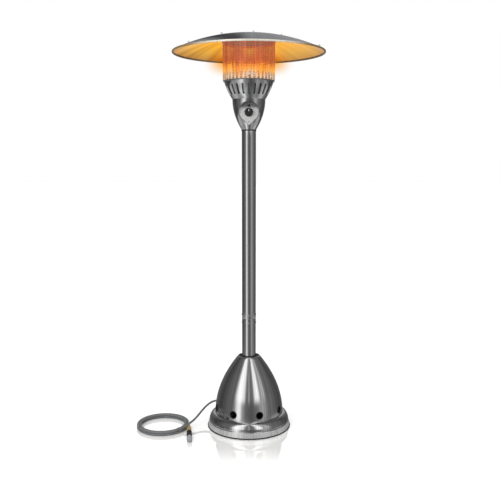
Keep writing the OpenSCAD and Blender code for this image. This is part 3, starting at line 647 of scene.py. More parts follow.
def joined(*parts):
    """One mesh of several, each of which stays a closed shell of its own."""
    whole = bmesh.new()
    for part in parts:
        carrier = bpy.data.meshes.new("carrier")
        part.to_mesh(carrier)
        part.free()
        whole.from_mesh(carrier)
        bpy.data.meshes.remove(carrier)
    return whole


print("joining helpers are ready")


# %% Placing helpers
def turned_to(azimuth):
    return Matrix.Rotation(math.radians(azimuth), 4, "Z")


def facing_out(azimuth, r, z):
    """Moves a shape that was spun about the axis so that its top faces away from the heater."""
    upright = Matrix.Translation((0, -r, z)) @ Matrix.Rotation(math.radians(90), 4, "X")
    return turned_to(azimuth) @ upright


def new_object(name, bm, *finishes):
    mesh = bpy.data.meshes.new(name)
    bm.to_mesh(mesh)
    bm.free()
    for finish in finishes:
        mesh.materials.append(finish)
    mesh.shade_smooth()
    mesh.set_sharp_from_angle(angle=SHARP)
    made = bpy.data.objects.new(name, mesh)
    scene.collection.objects.link(made)
    return made


def piece(name, bm, body, slot, finishes, *nodes):
    """Makes the piece's object, hangs it from its body's empty and hides the nodes it stands for. The
    slot is not used.
    """
    made = new_object(name, bm, *finishes)
    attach(made, body)
    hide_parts(*nodes)
    print(f"made {name} with {len(made.data.polygons)} faces")
    return made


print("placing helpers are ready")


# %% Cutting helper
def cut(bm, tool):
    """Cuts the tool's shapes out of the mesh and gives back what is left."""
    body = new_object("body", bm)
    cutter = new_object("cutter", tool)
    modifier = body.modifiers.new("cut", "BOOLEAN")
    modifier.object = cutter
    modifier.solver = "EXACT"
    left = bpy.data.meshes.new_from_object(body.evaluated_get(bpy.context.evaluated_depsgraph_get()))
    bpy.data.objects.remove(body)
    bpy.data.objects.remove(cutter)
    rest = bmesh.new()
    rest.from_mesh(left)
    bpy.data.meshes.remove(left)
    return rest


print("the cutting helper is ready")

# %% [markdown]
# ## The base
# The heater stands on a black edge trim. Over it sits a pressed ring: a flared foot, a small bead
# at the shoulder and a round crown that the bell stands on. All three are one outline each. The
# bead is what a press leaves between two bends, and it catches a thin line of light.

# %% Edge trim
TRIM_H = top_of("edge_trim")
TRIM_W = 0.007
TRIM_ROUND = 0.0022
outline = [(BASE_R - TRIM_W, 0.0)]
outline += arc(BASE_R - TRIM_ROUND, TRIM_ROUND, TRIM_ROUND, -90, 0)
outline += arc(BASE_R - TRIM_ROUND, TRIM_H - TRIM_ROUND, TRIM_ROUND, 0, 90)
outline += [(BASE_R - TRIM_W, TRIM_H)]
piece("trim_moulding", spun(outline), "heater", "black_rubber", [trim_rubber], "edge_trim")

# %% Pressed ring
SHEET = 0.0015
ring_low, ring_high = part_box("base_ring")
bell_low, bell_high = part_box("bell_cover")
BELL_R = bell_high.x
SHOULDER_R = 0.223
SHOULDER_Z = 0.034
LIP_W = 0.014
CROWN_R = BELL_R - 0.004


def pressed_line(inset):
    line = arc(ring_high.x - 0.001 - inset, ring_low.z + 0.001, 0.001, -90, 0, 3)
    line += arc(SHOULDER_R - 0.002 - inset, SHOULDER_Z - 0.001, 0.0022, -10, 100, 6)
    crown_z = SHOULDER_Z + 0.002
    for turn in levels(4, 90, 22):
        t = math.radians(turn)
        r = CROWN_R + (SHOULDER_R - 0.001 - CROWN_R - inset) * math.cos(t)
        line.append((r, crown_z + (ring_high.z - crown_z - inset) * math.sin(t)))
    return line


outline = pressed_line(0.0) + [(BELL_R - LIP_W, ring_high.z), (BELL_R - LIP_W, ring_high.z - SHEET)]
outline += pressed_line(SHEET)[::-1]
base = spun(outline)
for face in base.faces:
    face.material_index = 1 if face.calc_center_median().z < SHOULDER_Z - 0.002 else 0
piece("pressed_ring", base, "heater", "brushed_steel", [shell_steel, foot_satin], "base_ring")

# %% [markdown]
# ## The bell
# The bell cover is spun from sheet, so it is a true body of revolution, steeper towards its top.
# Its lower edge is hemmed into a small bead and its mouth is turned in to carry the collar. The
# round vents are cut after spinning, here with eight short cylinders in one boolean, and each but
# the one the hose leaves through has a rolled eyelet that is bent to the bell's own curve.

# %% Bell shell
MOUTH_R = radius_of("bell_collar")
BELL_FOOT = bell_low.z
BELL_TOP = bell_high.z - 0.001
BELL_DRAW = BELL_R - MOUTH_R - 0.005
HEM_R = 0.0016


def bell_at(z):
    return BELL_R - BELL_DRAW * ((z - BELL_FOOT) / (BELL_TOP - BELL_FOOT)) ** 2


bell_levels = levels(BELL_FOOT + 3 * HEM_R, BELL_TOP - 0.003, 40)
outline = arc(BELL_R - 0.0005, BELL_FOOT + HEM_R, HEM_R, -90, 70, 8)
outline += [(bell_at(z), z) for z in bell_levels]
outline += [(bell_at(BELL_TOP) - 0.001, BELL_TOP + 0.0002), (MOUTH_R + 0.002, BELL_TOP + 0.001)]
outline += [(MOUTH_R, BELL_TOP + 0.001), (MOUTH_R, BELL_TOP - 0.001)]
outline += [(bell_at(z) - SHEET, z) for z in bell_levels[::-1]]
bell = spun(outline, steps=192)
print(f"bell {BELL_R * 2000:.0f} mm across, {(BELL_TOP - BELL_FOOT) * 1000:.0f} mm high")

# %% Vents in the bell
VENT_N = 8
VENT_FIRST = 18
HOSE_VENT = 5
VENT_R = 0.019
VENT_Z = 0.115
vent_angles = [VENT_FIRST + i * 360 / VENT_N for i in range(VENT_N)]


def vent_drill(azimuth):
    bm = bmesh.new()
    bmesh.ops.create_cone(
        bm, cap_ends=True, segments=48, radius1=VENT_R + 0.0004, radius2=VENT_R + 0.0004, depth=0.04
    )
    return moved(bm, facing_out(azimuth, bell_at(VENT_Z), VENT_Z))


bell = cut(bell, joined(*[vent_drill(a) for a in vent_angles]))
piece("spun_bell", bell, "heater", "brushed_steel", [shell_steel], "bell_cover")


# %% Vent eyelets
def eyelet(azimuth):
    """A rolled rim, bent to the bell: back at its two sides, and back at its top."""
    outline = [(VENT_R - 0.0014, -0.006), (VENT_R - 0.0014, 0.0004)]
    outline += arc(VENT_R + 0.0006, 0.0004, 0.002, 180, 0, 10)
    outline += [(VENT_R + 0.0026, -0.0006), (VENT_R, -0.0006), (VENT_R, -0.006)]
    bm = spun(outline, steps=48)
    slope = (bell_at(VENT_Z - 0.01) - bell_at(VENT_Z + 0.01)) / 0.02
    for vert in bm.verts:
        x, y, z = vert.co
        vert.co.z = z - x * x / (2 * BELL_R) - y * slope
    return moved(bm, facing_out(azimuth, bell_at(VENT_Z), VENT_Z))


rims = joined(*[eyelet(a) for i, a in enumerate(vent_angles) if i != HOSE_VENT])
piece("rolled_eyelets", rims, "heater", "black_rubber", [trim_rubber], "vent_eyelets")

# %% Collar
collar_low, collar_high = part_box("bell_collar")
SUNK = 0.003
outline = [(POLE_R, collar_low.z), (MOUTH_R - 0.001, collar_low.z)]
outline += arc(MOUTH_R - 0.001, collar_low.z + 0.001, 0.001, -90, 0, 3)
outline += arc(MOUTH_R - 0.001, collar_high.z - 0.001, 0.001, 0, 90, 3)
outline += arc(MOUTH_R - 0.003, collar_high.z - 0.001, 0.001, 90, 135, 2)
outline += [(MOUTH_R - 0.006, collar_high.z - SUNK), (POLE_R, collar_high.z - SUNK)]
piece("collar_moulding", spun(outline), "heater", "black_rubber", [trim_rubber], "bell_collar")

# %% [markdown]
# ## The pole
# The pole is two straight tubes with a sleeve inside their joint. A tube's cut end is broken with
# a file, and those two small rounds are what make the joint show as a fine dark line. The joint's
# pan-head screws have a shallow socket, made by a dip in the outline of each head.


# %% Pole tubes
def tube_outline(low, high):
    broken = 0.001
    inner = POLE_R - 0.002
    line = arc(POLE_R - broken, low + broken, broken, -90, 0, 4)
    line += [(POLE_R, z) for z in levels(low + 0.05, high - 0.05, 6)]
    line += arc(POLE_R - broken, high - broken, broken, 0, 90, 4)
    return line + [(inner, high), (inner, low)]


for name, node in (("lower_tube", "lower_pole"), ("upper_tube", "upper_pole")):
    tube = spun(tube_outline(bottom_of(node), top_of(node)), steps=96)
    piece(name, tube, "heater", "brushed_steel", [pole_steel], node)


# %% Screw heads
def pan_head(r, height, shank):
    """A screw with its head up: a low dome with a round socket, and a shank below it."""
    socket = r * 0.42
    outline = [(0.0, -shank), (r * 0.5, -shank), (r * 0.5, 0.0), (r, 0.0), (r, height * 0.35)]
    outline += arc(r - height * 0.65, height * 0.35, height * 0.65, 20, 90, 4)
    outline += [(socket, height), (socket * 0.8, height * 0.45), (0.0, height * 0.4)]
    return spun(outline, steps=24)


SCREW_DROP = 0.022
joint_z = bottom_of("upper_pole")
heads = []
for z in (joint_z - SCREW_DROP, joint_z + SCREW_DROP):
    for azimuth in range(0, 360, 90):
        heads.append(moved(pan_head(0.005, 0.0025, 0.008), facing_out(azimuth, POLE_R, z)))
piece("joint_screws", joined(*heads), "heater", "polished_steel", [fastener_steel], "pole_screws")

# %% Neck gasket
gasket_low, gasket_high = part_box("neck_gasket")
middle = (gasket_low.z + gasket_high.z) / 2
outline = [(POLE_R, gasket_low.z)] + arc(gasket_high.x - 0.0025, middle, 0.0025, -90, 90, 8)
outline += [(POLE_R, gasket_high.z)]
piece("neck_seal", spun(outline), "heater", "black_rubber", [trim_rubber], "neck_gasket")

# %% [markdown]
# ## The control housing
# The tulip-shaped housing is spun like the bell, then its front is cut away in the shape of a
# drop: a circle with two straight sides that run down to a point. The cutter is that drop, drawn
# once and pushed through the front. The liner is the wall of the recess. It starts flat behind
# the panel, and every point of its front edge moves out to the housing's own surface.

# %% Housing shell
housing_low, housing_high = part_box("control_housing")
HOUSING_R = housing_high.x
NECK_R = POLE_R + 0.0004
HOUSING_H = housing_high.z - housing_low.z


def housing_at(z):
    return NECK_R + (HOUSING_R - NECK_R) * (1 - ((housing_high.z - z) / HOUSING_H) ** 2)


DROP_R = 0.054
DROP_TIP = 0.072
DROP_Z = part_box("control_panel")[1].z - DROP_R + 0.0004
CUT_BACK = -0.038
CUT_FRONT = -0.12


def drop_outline(inset):
    """The drop's points (x, z) about its round part's centre."""
    r, tip = DROP_R - inset, DROP_TIP - inset * 1.3
    meets = math.degrees(math.acos(r / tip))
    return arc(0.0, 0.0, r, meets - 90, 270 - meets, 48) + [(0.0, -tip)]


def drop_prism(inset, y_back, y_front):
    bm = bmesh.new()
    corners = [bm.verts.new((x, y_back, DROP_Z + z)) for x, z in drop_outline(inset)]
    face = bm.faces.new(corners)
    pushed = bmesh.ops.extrude_face_region(bm, geom=[face])
    front = [v for v in pushed["geom"] if isinstance(v, bmesh.types.BMVert)]
    bmesh.ops.translate(bm, verts=front, vec=(0, y_front - y_back, 0))
    bmesh.ops.recalc_face_normals(bm, faces=bm.faces)
    return bm


housing_levels = levels(housing_low.z, housing_high.z, 40)
outline = [(housing_at(z), z) for z in housing_levels]
outline += [(max(housing_at(z) - SHEET, POLE_R + 0.0001), z) for z in housing_levels[::-1]]
housing = cut(spun(outline, steps=160), drop_prism(0.0, CUT_BACK, CUT_FRONT))
piece("tulip_housing", housing, "heater", "polished_steel", [mirror_steel], "control_housing")

# %% Recess liner
PANEL_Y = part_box("control_panel")[0].y
LINER_WALL = 0.0012
liner = bmesh.new()
corners = [liner.verts.new((x, PANEL_Y, DROP_Z + z)) for x, z in drop_outline(0.0004)]
edges = [liner.edges.new(pair) for pair in zip(corners, corners[1:] + corners[:1])]
for share in (0.5, 0.9, 1.0):
    pushed = bmesh.ops.extrude_edge_only(liner, edges=edges)["geom"]
    edges = [e for e in pushed if isinstance(e, bmesh.types.BMEdge)]
    for vert in {v for e in edges for v in e.verts}:
        reach = max(housing_at(vert.co.z) ** 2 - vert.co.x ** 2, 0.0) ** 0.5
        vert.co.y = PANEL_Y + min(-reach - PANEL_Y, -0.0008) * share
bmesh.ops.recalc_face_normals(liner, faces=liner.faces)
bmesh.ops.solidify(liner, geom=liner.faces, thickness=LINER_WALL)
piece("recess_wall", liner, "heater", "plate_steel", [zinc_plate], "recess_liner")

# %% [markdown]
# ## Knob, spring and push button
# The knob is moulded: a thin skirt, a grip that narrows towards the front and a slightly dished
# face. Its flutes are the part a plain turned shape would miss, so the grip's points are drawn
# in and out as a wave round the axis after it is spun. The button is a small mushroom. Behind the
# knob a wound spring sits round the stem: a small circle is spun and moved along the axis at the
# same time.

# %% Control knob
knob_low, knob_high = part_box("control_knob")
KNOB_AT = Vector((0, knob_high.y, (knob_low.z + knob_high.z) / 2))
KNOB_R = knob_high.x
KNOB_DEPTH = knob_high.y - knob_low.y
FLUTES = 16
FLUTE_DEPTH = 0.0009

outline = [(0.0, 0.0), (KNOB_R - 0.001, 0.0)]
outline += arc(KNOB_R - 0.0012, 0.0012, 0.0012, -70, 0, 3)
outline += arc(KNOB_R - 0.0012, 0.0030, 0.0012, 0, 80, 4)
outline += [(KNOB_R - 0.003, 0.0052), (KNOB_R - 0.0038, 0.0085), (KNOB_R - 0.0044, 0.0125)]
outline += arc(KNOB_R - 0.0085, KNOB_DEPTH - 0.0042, 0.0038, 10, 90, 7)
outline += [(KNOB_R - 0.0105, KNOB_DEPTH - 0.0006), (0.006, KNOB_DEPTH - 0.0012)]
outline += [(0.0, KNOB_DEPTH - 0.0013)]
knob = spun(outline, steps=160)
for vert in knob.verts:
    x, y, z = vert.co
    r = math.hypot(x, y)
    grip = ease((z - 0.005) / 0.003) * ease((r - KNOB_R * 0.5) / (KNOB_R * 0.2))
    wave = 0.5 - 0.5 * math.cos(FLUTES * math.atan2(y, x))
    if r > 0:
        vert.co.x -= x / r * FLUTE_DEPTH * wave * grip
        vert.co.y -= y / r * FLUTE_DEPTH * wave * grip
moved(knob, facing_out(0, -KNOB_AT.y, KNOB_AT.z))
piece("fluted_knob", knob, "knob", "black_plastic", [knob_plastic], "control_knob")

# %% Return spring
SPRING_TURNS = 6
STEPS_A_TURN = 30
WIRE_R = 0.0004
COLLAR_GAP = 0.0031
spring_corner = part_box("stem_spring")[1]
SPRING_BACK = spring_corner.y + 0.0002
SPRING_LEN = SPRING_BACK - KNOB_AT.y - COLLAR_GAP
spring_steps = SPRING_TURNS * STEPS_A_TURN
wire = bmesh.new()
bmesh.ops.create_circle(wire, segments=8, radius=WIRE_R)
start = Vector((spring_corner.x - WIRE_R, SPRING_BACK - WIRE_R, 0))
bmesh.ops.translate(wire, verts=wire.verts, vec=start)
bmesh.ops.spin(
    wire, geom=wire.verts[:] + wire.edges[:], cent=(0, 0, 0), axis=(0, 1, 0),
    dvec=(0, (2 * WIRE_R - SPRING_LEN) / spring_steps, 0),
    angle=math.tau * SPRING_TURNS, steps=spring_steps,
)
ends = [e for e in wire.edges if e.is_boundary]
bmesh.ops.holes_fill(wire, edges=ends, sides=0)
bmesh.ops.recalc_face_normals(wire, faces=wire.faces)
bmesh.ops.translate(wire, verts=wire.verts, vec=(0, 0, KNOB_AT.z))
spring = piece("return_spring", wire, "heater", "spring_steel", [spring_wire], "stem_spring")
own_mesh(spring)

# %% Push button
button_low, button_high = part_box("igniter_button")
BUTTON_R = button_high.x
BUTTON_LEN = button_high.y - button_low.y
BUTTON_HEAD = 0.008
PLUNGER_R = 0.0035
outline = [(0.0, 0.0), (PLUNGER_R, 0.0), (PLUNGER_R, BUTTON_LEN - BUTTON_HEAD)]
outline += [(BUTTON_R - 0.0004, BUTTON_LEN - BUTTON_HEAD), (BUTTON_R, BUTTON_LEN - BUTTON_HEAD + 0.0005)]
outline += arc(BUTTON_R - 0.0018, BUTTON_LEN - 0.0018, 0.0018, 0, 80, 6) + [(0.0, BUTTON_LEN)]
button = spun(outline, steps=48)
moved(button, facing_out(0, -button_high.y, (button_low.z + button_high.z) / 2))
piece("push_button", button, "igniter", "black_plastic", [knob_plastic], "igniter_button")

# %% Panel screws
PANEL_SCREWS = [(-0.036, 0.026), (0.036, 0.026), (0.0, -0.052)]
heads = []
for x, z in PANEL_SCREWS:
    seat = Matrix.Translation((x, 0, 0)) @ facing_out(0, -PANEL_Y, DROP_Z + z)
    heads.append(moved(pan_head(0.0032, 0.0016, 0.005), seat))
piece("panel_pan_heads", joined(*heads), "heater", "polished_steel", [fastener_steel], "panel_screws")

# %% [markdown]
# ## The burner bowl
# The bowl flares from the housing to the emitter, and a ring of upright slots lets air in to the
# flames. A slot with round ends is a box whose four long edges are bevelled by half its width.
# One such box is turned to each azimuth, and they are all cut in one go.

# %% Bowl shell
bowl_low, bowl_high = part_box("burner_bowl")
RING_TOP = top_of("bowl_ring")
RING_R = radius_of("bowl_ring")
BOWL_FLARE = RING_R - 0.004 - HOUSING_R
SLOT_N = 24
SLOT_W = 0.012
SLOT_LEN = 0.054
SLOT_FOOT = bowl_low.z + 0.021


def bowl_at(z):
    t = (z - bowl_low.z) / (RING_TOP - bowl_low.z)
    return HOUSING_R + BOWL_FLARE * (1.4 * t - 0.4 * t * t)


def slot_box(azimuth):
    bm = bmesh.new()
    bmesh.ops.create_cube(bm, size=1.0)
    bmesh.ops.scale(bm, vec=(SLOT_W, 0.07, SLOT_LEN), verts=bm.verts)
    along = [e for e in bm.edges if abs(e.verts[0].co.y - e.verts[1].co.y) > 0.01]
    bmesh.ops.bevel(
        bm, geom=along, offset=SLOT_W * 0.499, affect="EDGES", segments=6, profile=0.5, material=-1
    )
    bmesh.ops.translate(bm, verts=bm.verts, vec=(0, -HOUSING_R - 0.02, SLOT_FOOT + SLOT_LEN / 2))
    return moved(bm, turned_to(azimuth))


lip_z = bowl_high.z - 0.002
bowl_levels = levels(bowl_low.z, lip_z, 26)
outline = [(bowl_at(z), z) for z in bowl_levels]
outline += arc(bowl_high.x - 0.0008, lip_z + 0.001, 0.0008, -90, 90, 4)
outline += [(bowl_at(lip_z) - SHEET, bowl_high.z)]
outline += [(bowl_at(z) - SHEET, z) for z in bowl_levels[::-1]]
bowl = cut(spun(outline), joined(*[slot_box(i * 360 / SLOT_N) for i in range(SLOT_N)]))
piece("slotted_bowl", bowl, "heater", "polished_steel", [mirror_steel], "burner_bowl")

# %% Bowl ring
ring_foot = bottom_of("bowl_ring")
middle = (ring_foot + RING_TOP) / 2
outline = [(RING_R - 0.0065, ring_foot)] + arc(RING_R - 0.002, middle, 0.002, -90, 90, 8)
outline += [(RING_R - 0.0065, RING_TOP)]
piece("rolled_ring", spun(outline), "heater", "plate_steel", [zinc_plate], "bowl_ring")

# %% [markdown]
# ## The emitter screen
# The emitter is sheet with thousands of small holes, rolled into a tube. Its mesh starts as an
# open cone with equal ends, divided into rows. Every face but the plain bands at the ends gets a
# smaller face inset, the inset face's corners are cut off so that it has eight sides, and it is
# deleted. Only then does the sheet get its thickness, so that each hole has a real edge.

# %% Perforated screen
COLUMNS = 104
ROWS = 24
EMITTER_R = radius_of("emitter_screen")
EMITTER_H = EMITTER_HEAD - EMITTER_FOOT
PITCH = math.tau * EMITTER_R / COLUMNS
screen = bmesh.new()
bmesh.ops.create_cone(
    screen, cap_ends=False, segments=COLUMNS, radius1=EMITTER_R, radius2=EMITTER_R, depth=EMITTER_H
)
bmesh.ops.translate(screen, verts=screen.verts, vec=(0, 0, (EMITTER_HEAD + EMITTER_FOOT) / 2))
uprights = [e for e in screen.edges if abs(e.verts[0].co.z - e.verts[1].co.z) > 0.01]
bmesh.ops.subdivide_edges(screen, edges=uprights, cuts=ROWS - 1, use_grid_fill=True)
row_h = EMITTER_H / ROWS
pierced = [
    f for f in screen.faces
    if EMITTER_FOOT + row_h < f.calc_center_median().z < EMITTER_HEAD - row_h
]
bmesh.ops.inset_individual(screen, faces=pierced, thickness=PITCH * 0.27)
corners = {v for f in pierced for v in f.verts}
bmesh.ops.bevel(
    screen, geom=list(corners), offset=PITCH * 0.13, affect="VERTICES", segments=1,
    profile=0.5, material=-1,
)
holes = [f for f in screen.faces if len(f.verts) == 8]
bmesh.ops.delete(screen, geom=holes, context="FACES")
bmesh.ops.recalc_face_normals(screen, faces=screen.faces)
bmesh.ops.solidify(screen, geom=screen.faces, thickness=0.0008)
print("holes in the screen:", len(holes))
mesh_screen = piece(
    "perforated_screen", screen, "heater", "emitter_mesh", [glowing_mesh], "emitter_screen"
)
mesh_screen.visible_glossy = False

# %% [markdown]
# ## The hood
# The hood is three pressed panels that lap under one another and share a rolled rim. A panel is
# one outline, the two faces of the sheet and the bead at its end, spun through a third of a turn.
# The strip that laps under the next panel is a second, shorter spin. Polished steel outside and
# heat-stained steel with a painted glow inside are two finishes, so each face takes the one for its
# side.

# %% Hood panels
HOOD_RISE = 0.092
HOOD_SHEET = 0.001
BEAD_R = 0.005
LAP = 2.4
RIM_Z = bottom_of("hood_panel_a") + BEAD_R
HOOD_TOP = RIM_Z + HOOD_RISE
DOME_R = (HOOD_R ** 2 + HOOD_RISE ** 2) / (2 * HOOD_RISE)
OUTER_FINISH, LINING, RIM = 0, 1, 2


def dome_at(r):
    return HOOD_TOP - DOME_R + math.sqrt(DOME_R * DOME_R - r * r)


def hood_panel(first):
    radii = levels(0.018, HOOD_R - 0.0105, 30)
    outline = [(r, dome_at(r)) for r in radii]
    outline += arc(HOOD_R - BEAD_R, RIM_Z, BEAD_R, 100, -170, 20)
    outline += [(r, dome_at(r) - HOOD_SHEET) for r in radii[::-1]]
    sheet = spun(outline, steps=60, first=first + 0.05, sweep=119.9)
    radii = levels(0.018, HOOD_R - 0.016, 30)
    outline = [(r, dome_at(r) - HOOD_SHEET) for r in radii]
    outline += [(r, dome_at(r) - 2 * HOOD_SHEET) for r in radii[::-1]]
    strip = spun(outline, steps=3, first=first + 120 - LAP, sweep=2 * LAP)
    both = joined(sheet, strip)
    for face in both.faces:
        centre = face.calc_center_median()
        on_rim = math.hypot(centre.x, centre.y) > HOOD_R - 2 * BEAD_R
        side = LINING if face.normal.z < -0.2 else OUTER_FINISH
        face.material_index = RIM if on_rim else side
    return both


SEAMS = (-52, 68, 188)
for letter, first in zip("abc", SEAMS):
    panel = piece(
        f"pressed_panel_{letter}", hood_panel(first), "heater", "hood_steel",
        [hood_steel, hood_lining, rim_steel], f"hood_panel_{letter}",
    )
    panel.visible_glossy = False

# %% Crown cap
CAP_R = radius_of("crown_cap")
CAP_T = 0.002
crown_low, crown_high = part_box("crown_cap")
STUD_R = 0.003
outline = [(0.0, crown_low.z), (STUD_R, crown_low.z), (STUD_R, dome_at(STUD_R))]
outline += [(r, dome_at(r)) for r in levels(0.01, CAP_R - 0.001, 6)]
outline += [(CAP_R, dome_at(CAP_R) + CAP_T * 0.4)]
outline += [(r, dome_at(r) + CAP_T) for r in levels(CAP_R - 0.001, 0.0, 8)]
disc = spun(outline, steps=96)
bolt = bmesh.new()
bmesh.ops.create_cone(bolt, cap_ends=True, segments=6, radius1=0.007, radius2=0.007, depth=0.006)
bmesh.ops.bevel(
    bolt, geom=[e for e in bolt.edges if e.verts[0].co.z > 0 and e.verts[1].co.z > 0],
    offset=0.0008, affect="EDGES", segments=2, profile=0.5, material=-1,
)
bmesh.ops.translate(bolt, verts=bolt.verts, vec=(0, 0, crown_high.z - 0.003))
piece("crown_disc", joined(disc, bolt), "heater", "polished_steel", [hood_steel], "crown_cap")

# %% [markdown]
# ## The quick coupler
# The hose ends in a crimped ferrule, a hexagon adapter and a quick coupler, whose sleeve slides
# back to let the plug go. They lie in line on the floor, so each is spun upright about the axis
# and one matrix lays it down. The crimp's grooves and the sleeve's rings are in the outlines, and
# the hexagons are six-sided cones with equal ends and bevelled edges.

# %% Where the coupler lies
COUPLER_AT = Vector(HOSE_TAIL[-1])
COUPLER_TURN = 6
FERRULE_LEN = 0.026
ADAPTER_LEN = 0.044
BODY_LEN = 0.078
BODY_R = 0.009
sleeve_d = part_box("coupler_sleeve")[1].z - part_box("coupler_sleeve")[0].z
SLEEVE_R = sleeve_d / 2


def along_coupler(distance):
    lay = turned_to(COUPLER_TURN) @ Matrix.Rotation(math.radians(90), 4, "X")
    return Matrix.Translation(COUPLER_AT) @ lay @ Matrix.Translation((0, 0, distance))


print(f"sleeve {SLEEVE_R * 2000:.0f} mm across")

# %% Crimped ferrule
FERRULE_R = HOSE_D / 2 + 0.003
outline = [(0.0, 0.0), (FERRULE_R - 0.0015, 0.0)] + arc(FERRULE_R - 0.0008, 0.0008, 0.0008, -80, 0, 3)
for groove in range(4):
    z = 0.005 + groove * 0.0052
    outline += [(FERRULE_R, z), (FERRULE_R - 0.0009, z + 0.0007)]
    outline += [(FERRULE_R - 0.0009, z + 0.002), (FERRULE_R, z + 0.0027)]
outline += [(FERRULE_R, FERRULE_LEN), (0.0, FERRULE_LEN)]
ferrule = moved(spun(outline, steps=48), along_coupler(0.0))
crimped = piece("crimped_ferrule", ferrule, "heater", "brass", [turned_brass], "hose_ferrule")


# %% Hexagon adapter
def hexagon(low, high):
    bm = bmesh.new()
    bmesh.ops.create_cone(
        bm, cap_ends=True, segments=6, radius1=SLEEVE_R, radius2=SLEEVE_R, depth=high - low
    )
    bmesh.ops.bevel(
        bm, geom=bm.edges[:], offset=0.0007, affect="EDGES", segments=2, profile=0.5, material=-1
    )
    bmesh.ops.translate(bm, verts=bm.verts, vec=(0, 0, (low + high) / 2))
    return bm


NUT_LEN = 0.018
NECK_LEN = 0.008
neck = [(0.0, NUT_LEN - 0.001), (BODY_R, NUT_LEN - 0.001)]
for thread in range(4):
    z = NUT_LEN + 0.001 + thread * 0.0018
    neck += [(BODY_R, z), (BODY_R - 0.0007, z + 0.0009)]
neck += [(BODY_R, NUT_LEN + NECK_LEN), (0.0, NUT_LEN + NECK_LEN + 0.001)]
adapter = joined(
    hexagon(0.0, NUT_LEN), spun(neck, steps=48), hexagon(NUT_LEN + NECK_LEN, ADAPTER_LEN)
)
moved(adapter, along_coupler(FERRULE_LEN))
hexes = piece("hex_fitting", adapter, "heater", "brass", [turned_brass], "hex_adapter")

# %% Coupler body
BORE_R = 0.006
body_start = FERRULE_LEN + ADAPTER_LEN
outline = [(0.0, 0.0), (BODY_R, 0.0), (BODY_R, 0.002), (BODY_R - 0.0006, 0.0028)]
outline += [(BODY_R - 0.0006, 0.0052), (BODY_R, 0.006)]
outline += [(BODY_R, BODY_LEN - 0.001), (BODY_R - 0.001, BODY_LEN), (BORE_R, BODY_LEN)]
outline += [(BORE_R, BODY_LEN - 0.026), (0.0, BODY_LEN - 0.026)]
barrel = moved(spun(outline, steps=48), along_coupler(body_start))
socket = piece("coupler_barrel", barrel, "heater", "brass", [turned_brass], "coupler_body")
for brass in (crimped, hexes, socket):
    brass.visible_glossy = False

# %% Sliding sleeve
SLEEVE_LEN = 0.058
SLEEVE_START = body_start + 0.008
SLEEVE_RINGS = 7
outline = [(BODY_R + 0.0002, 0.0)] + arc(SLEEVE_R - 0.0012, 0.0012, 0.0012, -90, 0, 4)
for ring in range(SLEEVE_RINGS):
    z = 0.012 + ring * 0.0045
    outline += [(SLEEVE_R, z), (SLEEVE_R - 0.0008, z + 0.0008)]
    outline += [(SLEEVE_R - 0.0008, z + 0.0018), (SLEEVE_R, z + 0.0026)]
outline += arc(SLEEVE_R - 0.002, SLEEVE_LEN - 0.002, 0.002, 0, 90, 5)
outline += [(BODY_R + 0.0002, SLEEVE_LEN)]
grip = moved(spun(outline, steps=64), along_coupler(SLEEVE_START))
sliding = piece("ringed_sleeve", grip, "sleeve", "black_plastic", [knob_plastic], "coupler_sleeve")

# %% [markdown]
# ## The strap
# A flat strap keeps the coil together. It is a box round the bundle with its long edges rounded,
# open at both ends, and then given a thin wall.

# %% Hose strap
STRAP_ANGLE = -42
STRAP_W = 0.012
STRAP_T = 0.0012
BUNDLE = 2 * HOSE_D
strap = bmesh.new()
bmesh.ops.create_cube(strap, size=1.0)
bmesh.ops.scale(strap, vec=(BUNDLE + 2 * STRAP_T, STRAP_W, BUNDLE + STRAP_T), verts=strap.verts)
rounded = [e for e in strap.edges if abs(e.verts[0].co.y - e.verts[1].co.y) > 0.005]
bmesh.ops.bevel(
    strap, geom=rounded, offset=0.0055, affect="EDGES", segments=6, profile=0.5, material=-1
)
ends = [f for f in strap.faces if abs(f.normal.y) > 0.9]
bmesh.ops.delete(strap, geom=ends, context="FACES")
bmesh.ops.recalc_face_normals(strap, faces=strap.faces)
bmesh.ops.solidify(strap, geom=strap.faces, thickness=STRAP_T)
bundle_at = Matrix.Translation((COIL_R, 0, (BUNDLE + STRAP_T) / 2))
swing = Matrix.Rotation(math.radians(STRAP_ANGLE), 4, "Z")
moved(strap, Matrix.Translation((COIL_AT.x, COIL_AT.y, 0)) @ swing @ bundle_at)
strapping = piece("coil_strap", strap, "heater", "hose_cover", [hose_rubber], "hose_tie")

# %% [markdown]
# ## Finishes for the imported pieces
# The pieces inside the heater already have their true shape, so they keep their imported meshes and
# only get a finish: zinc plate for brackets and plates, brass for gas parts, iron for castings.

# %% Kept nodes
KEPT = {
    "base_plate": zinc_plate, "ballast_ring": cast_iron, "pole_foot": zinc_plate,
    "foot_bolts": fastener_steel, "pole_coupling": zinc_plate, "inlet_fitting": turned_brass,
    "inlet_hose": hose_rubber, "hose_grommet": trim_rubber, "gas_pipe": copper_tube,
    "head_flange": zinc_plate, "control_panel": satin_panel, "gas_valve": turned_brass,
    "valve_bracket": zinc_plate, "valve_stem": turned_brass,
    "knob_pointer": pointer_paint, "igniter_body": knob_plastic, "tilt_switch": knob_plastic,
    "orifice_jet": turned_brass, "venturi_tube": cast_iron, "burner_plate": zinc_plate,
    "burner_head": cast_iron, "pilot_burner": turned_brass, "thermocouple": copper_tube,
    "spark_electrode": glazed_ceramic, "emitter_cap": zinc_plate, "hood_stays": hood_lining,
    "hood_studs": bright_zinc, "seam_bolts": bright_zinc, "hood_nuts": bright_zinc,
    "dust_cap": cap_plastic,
}
for node, finish in KEPT.items():
    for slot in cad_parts[node].material_slots:
        slot.material = finish
print("finished", len(KEPT), "packed nodes")
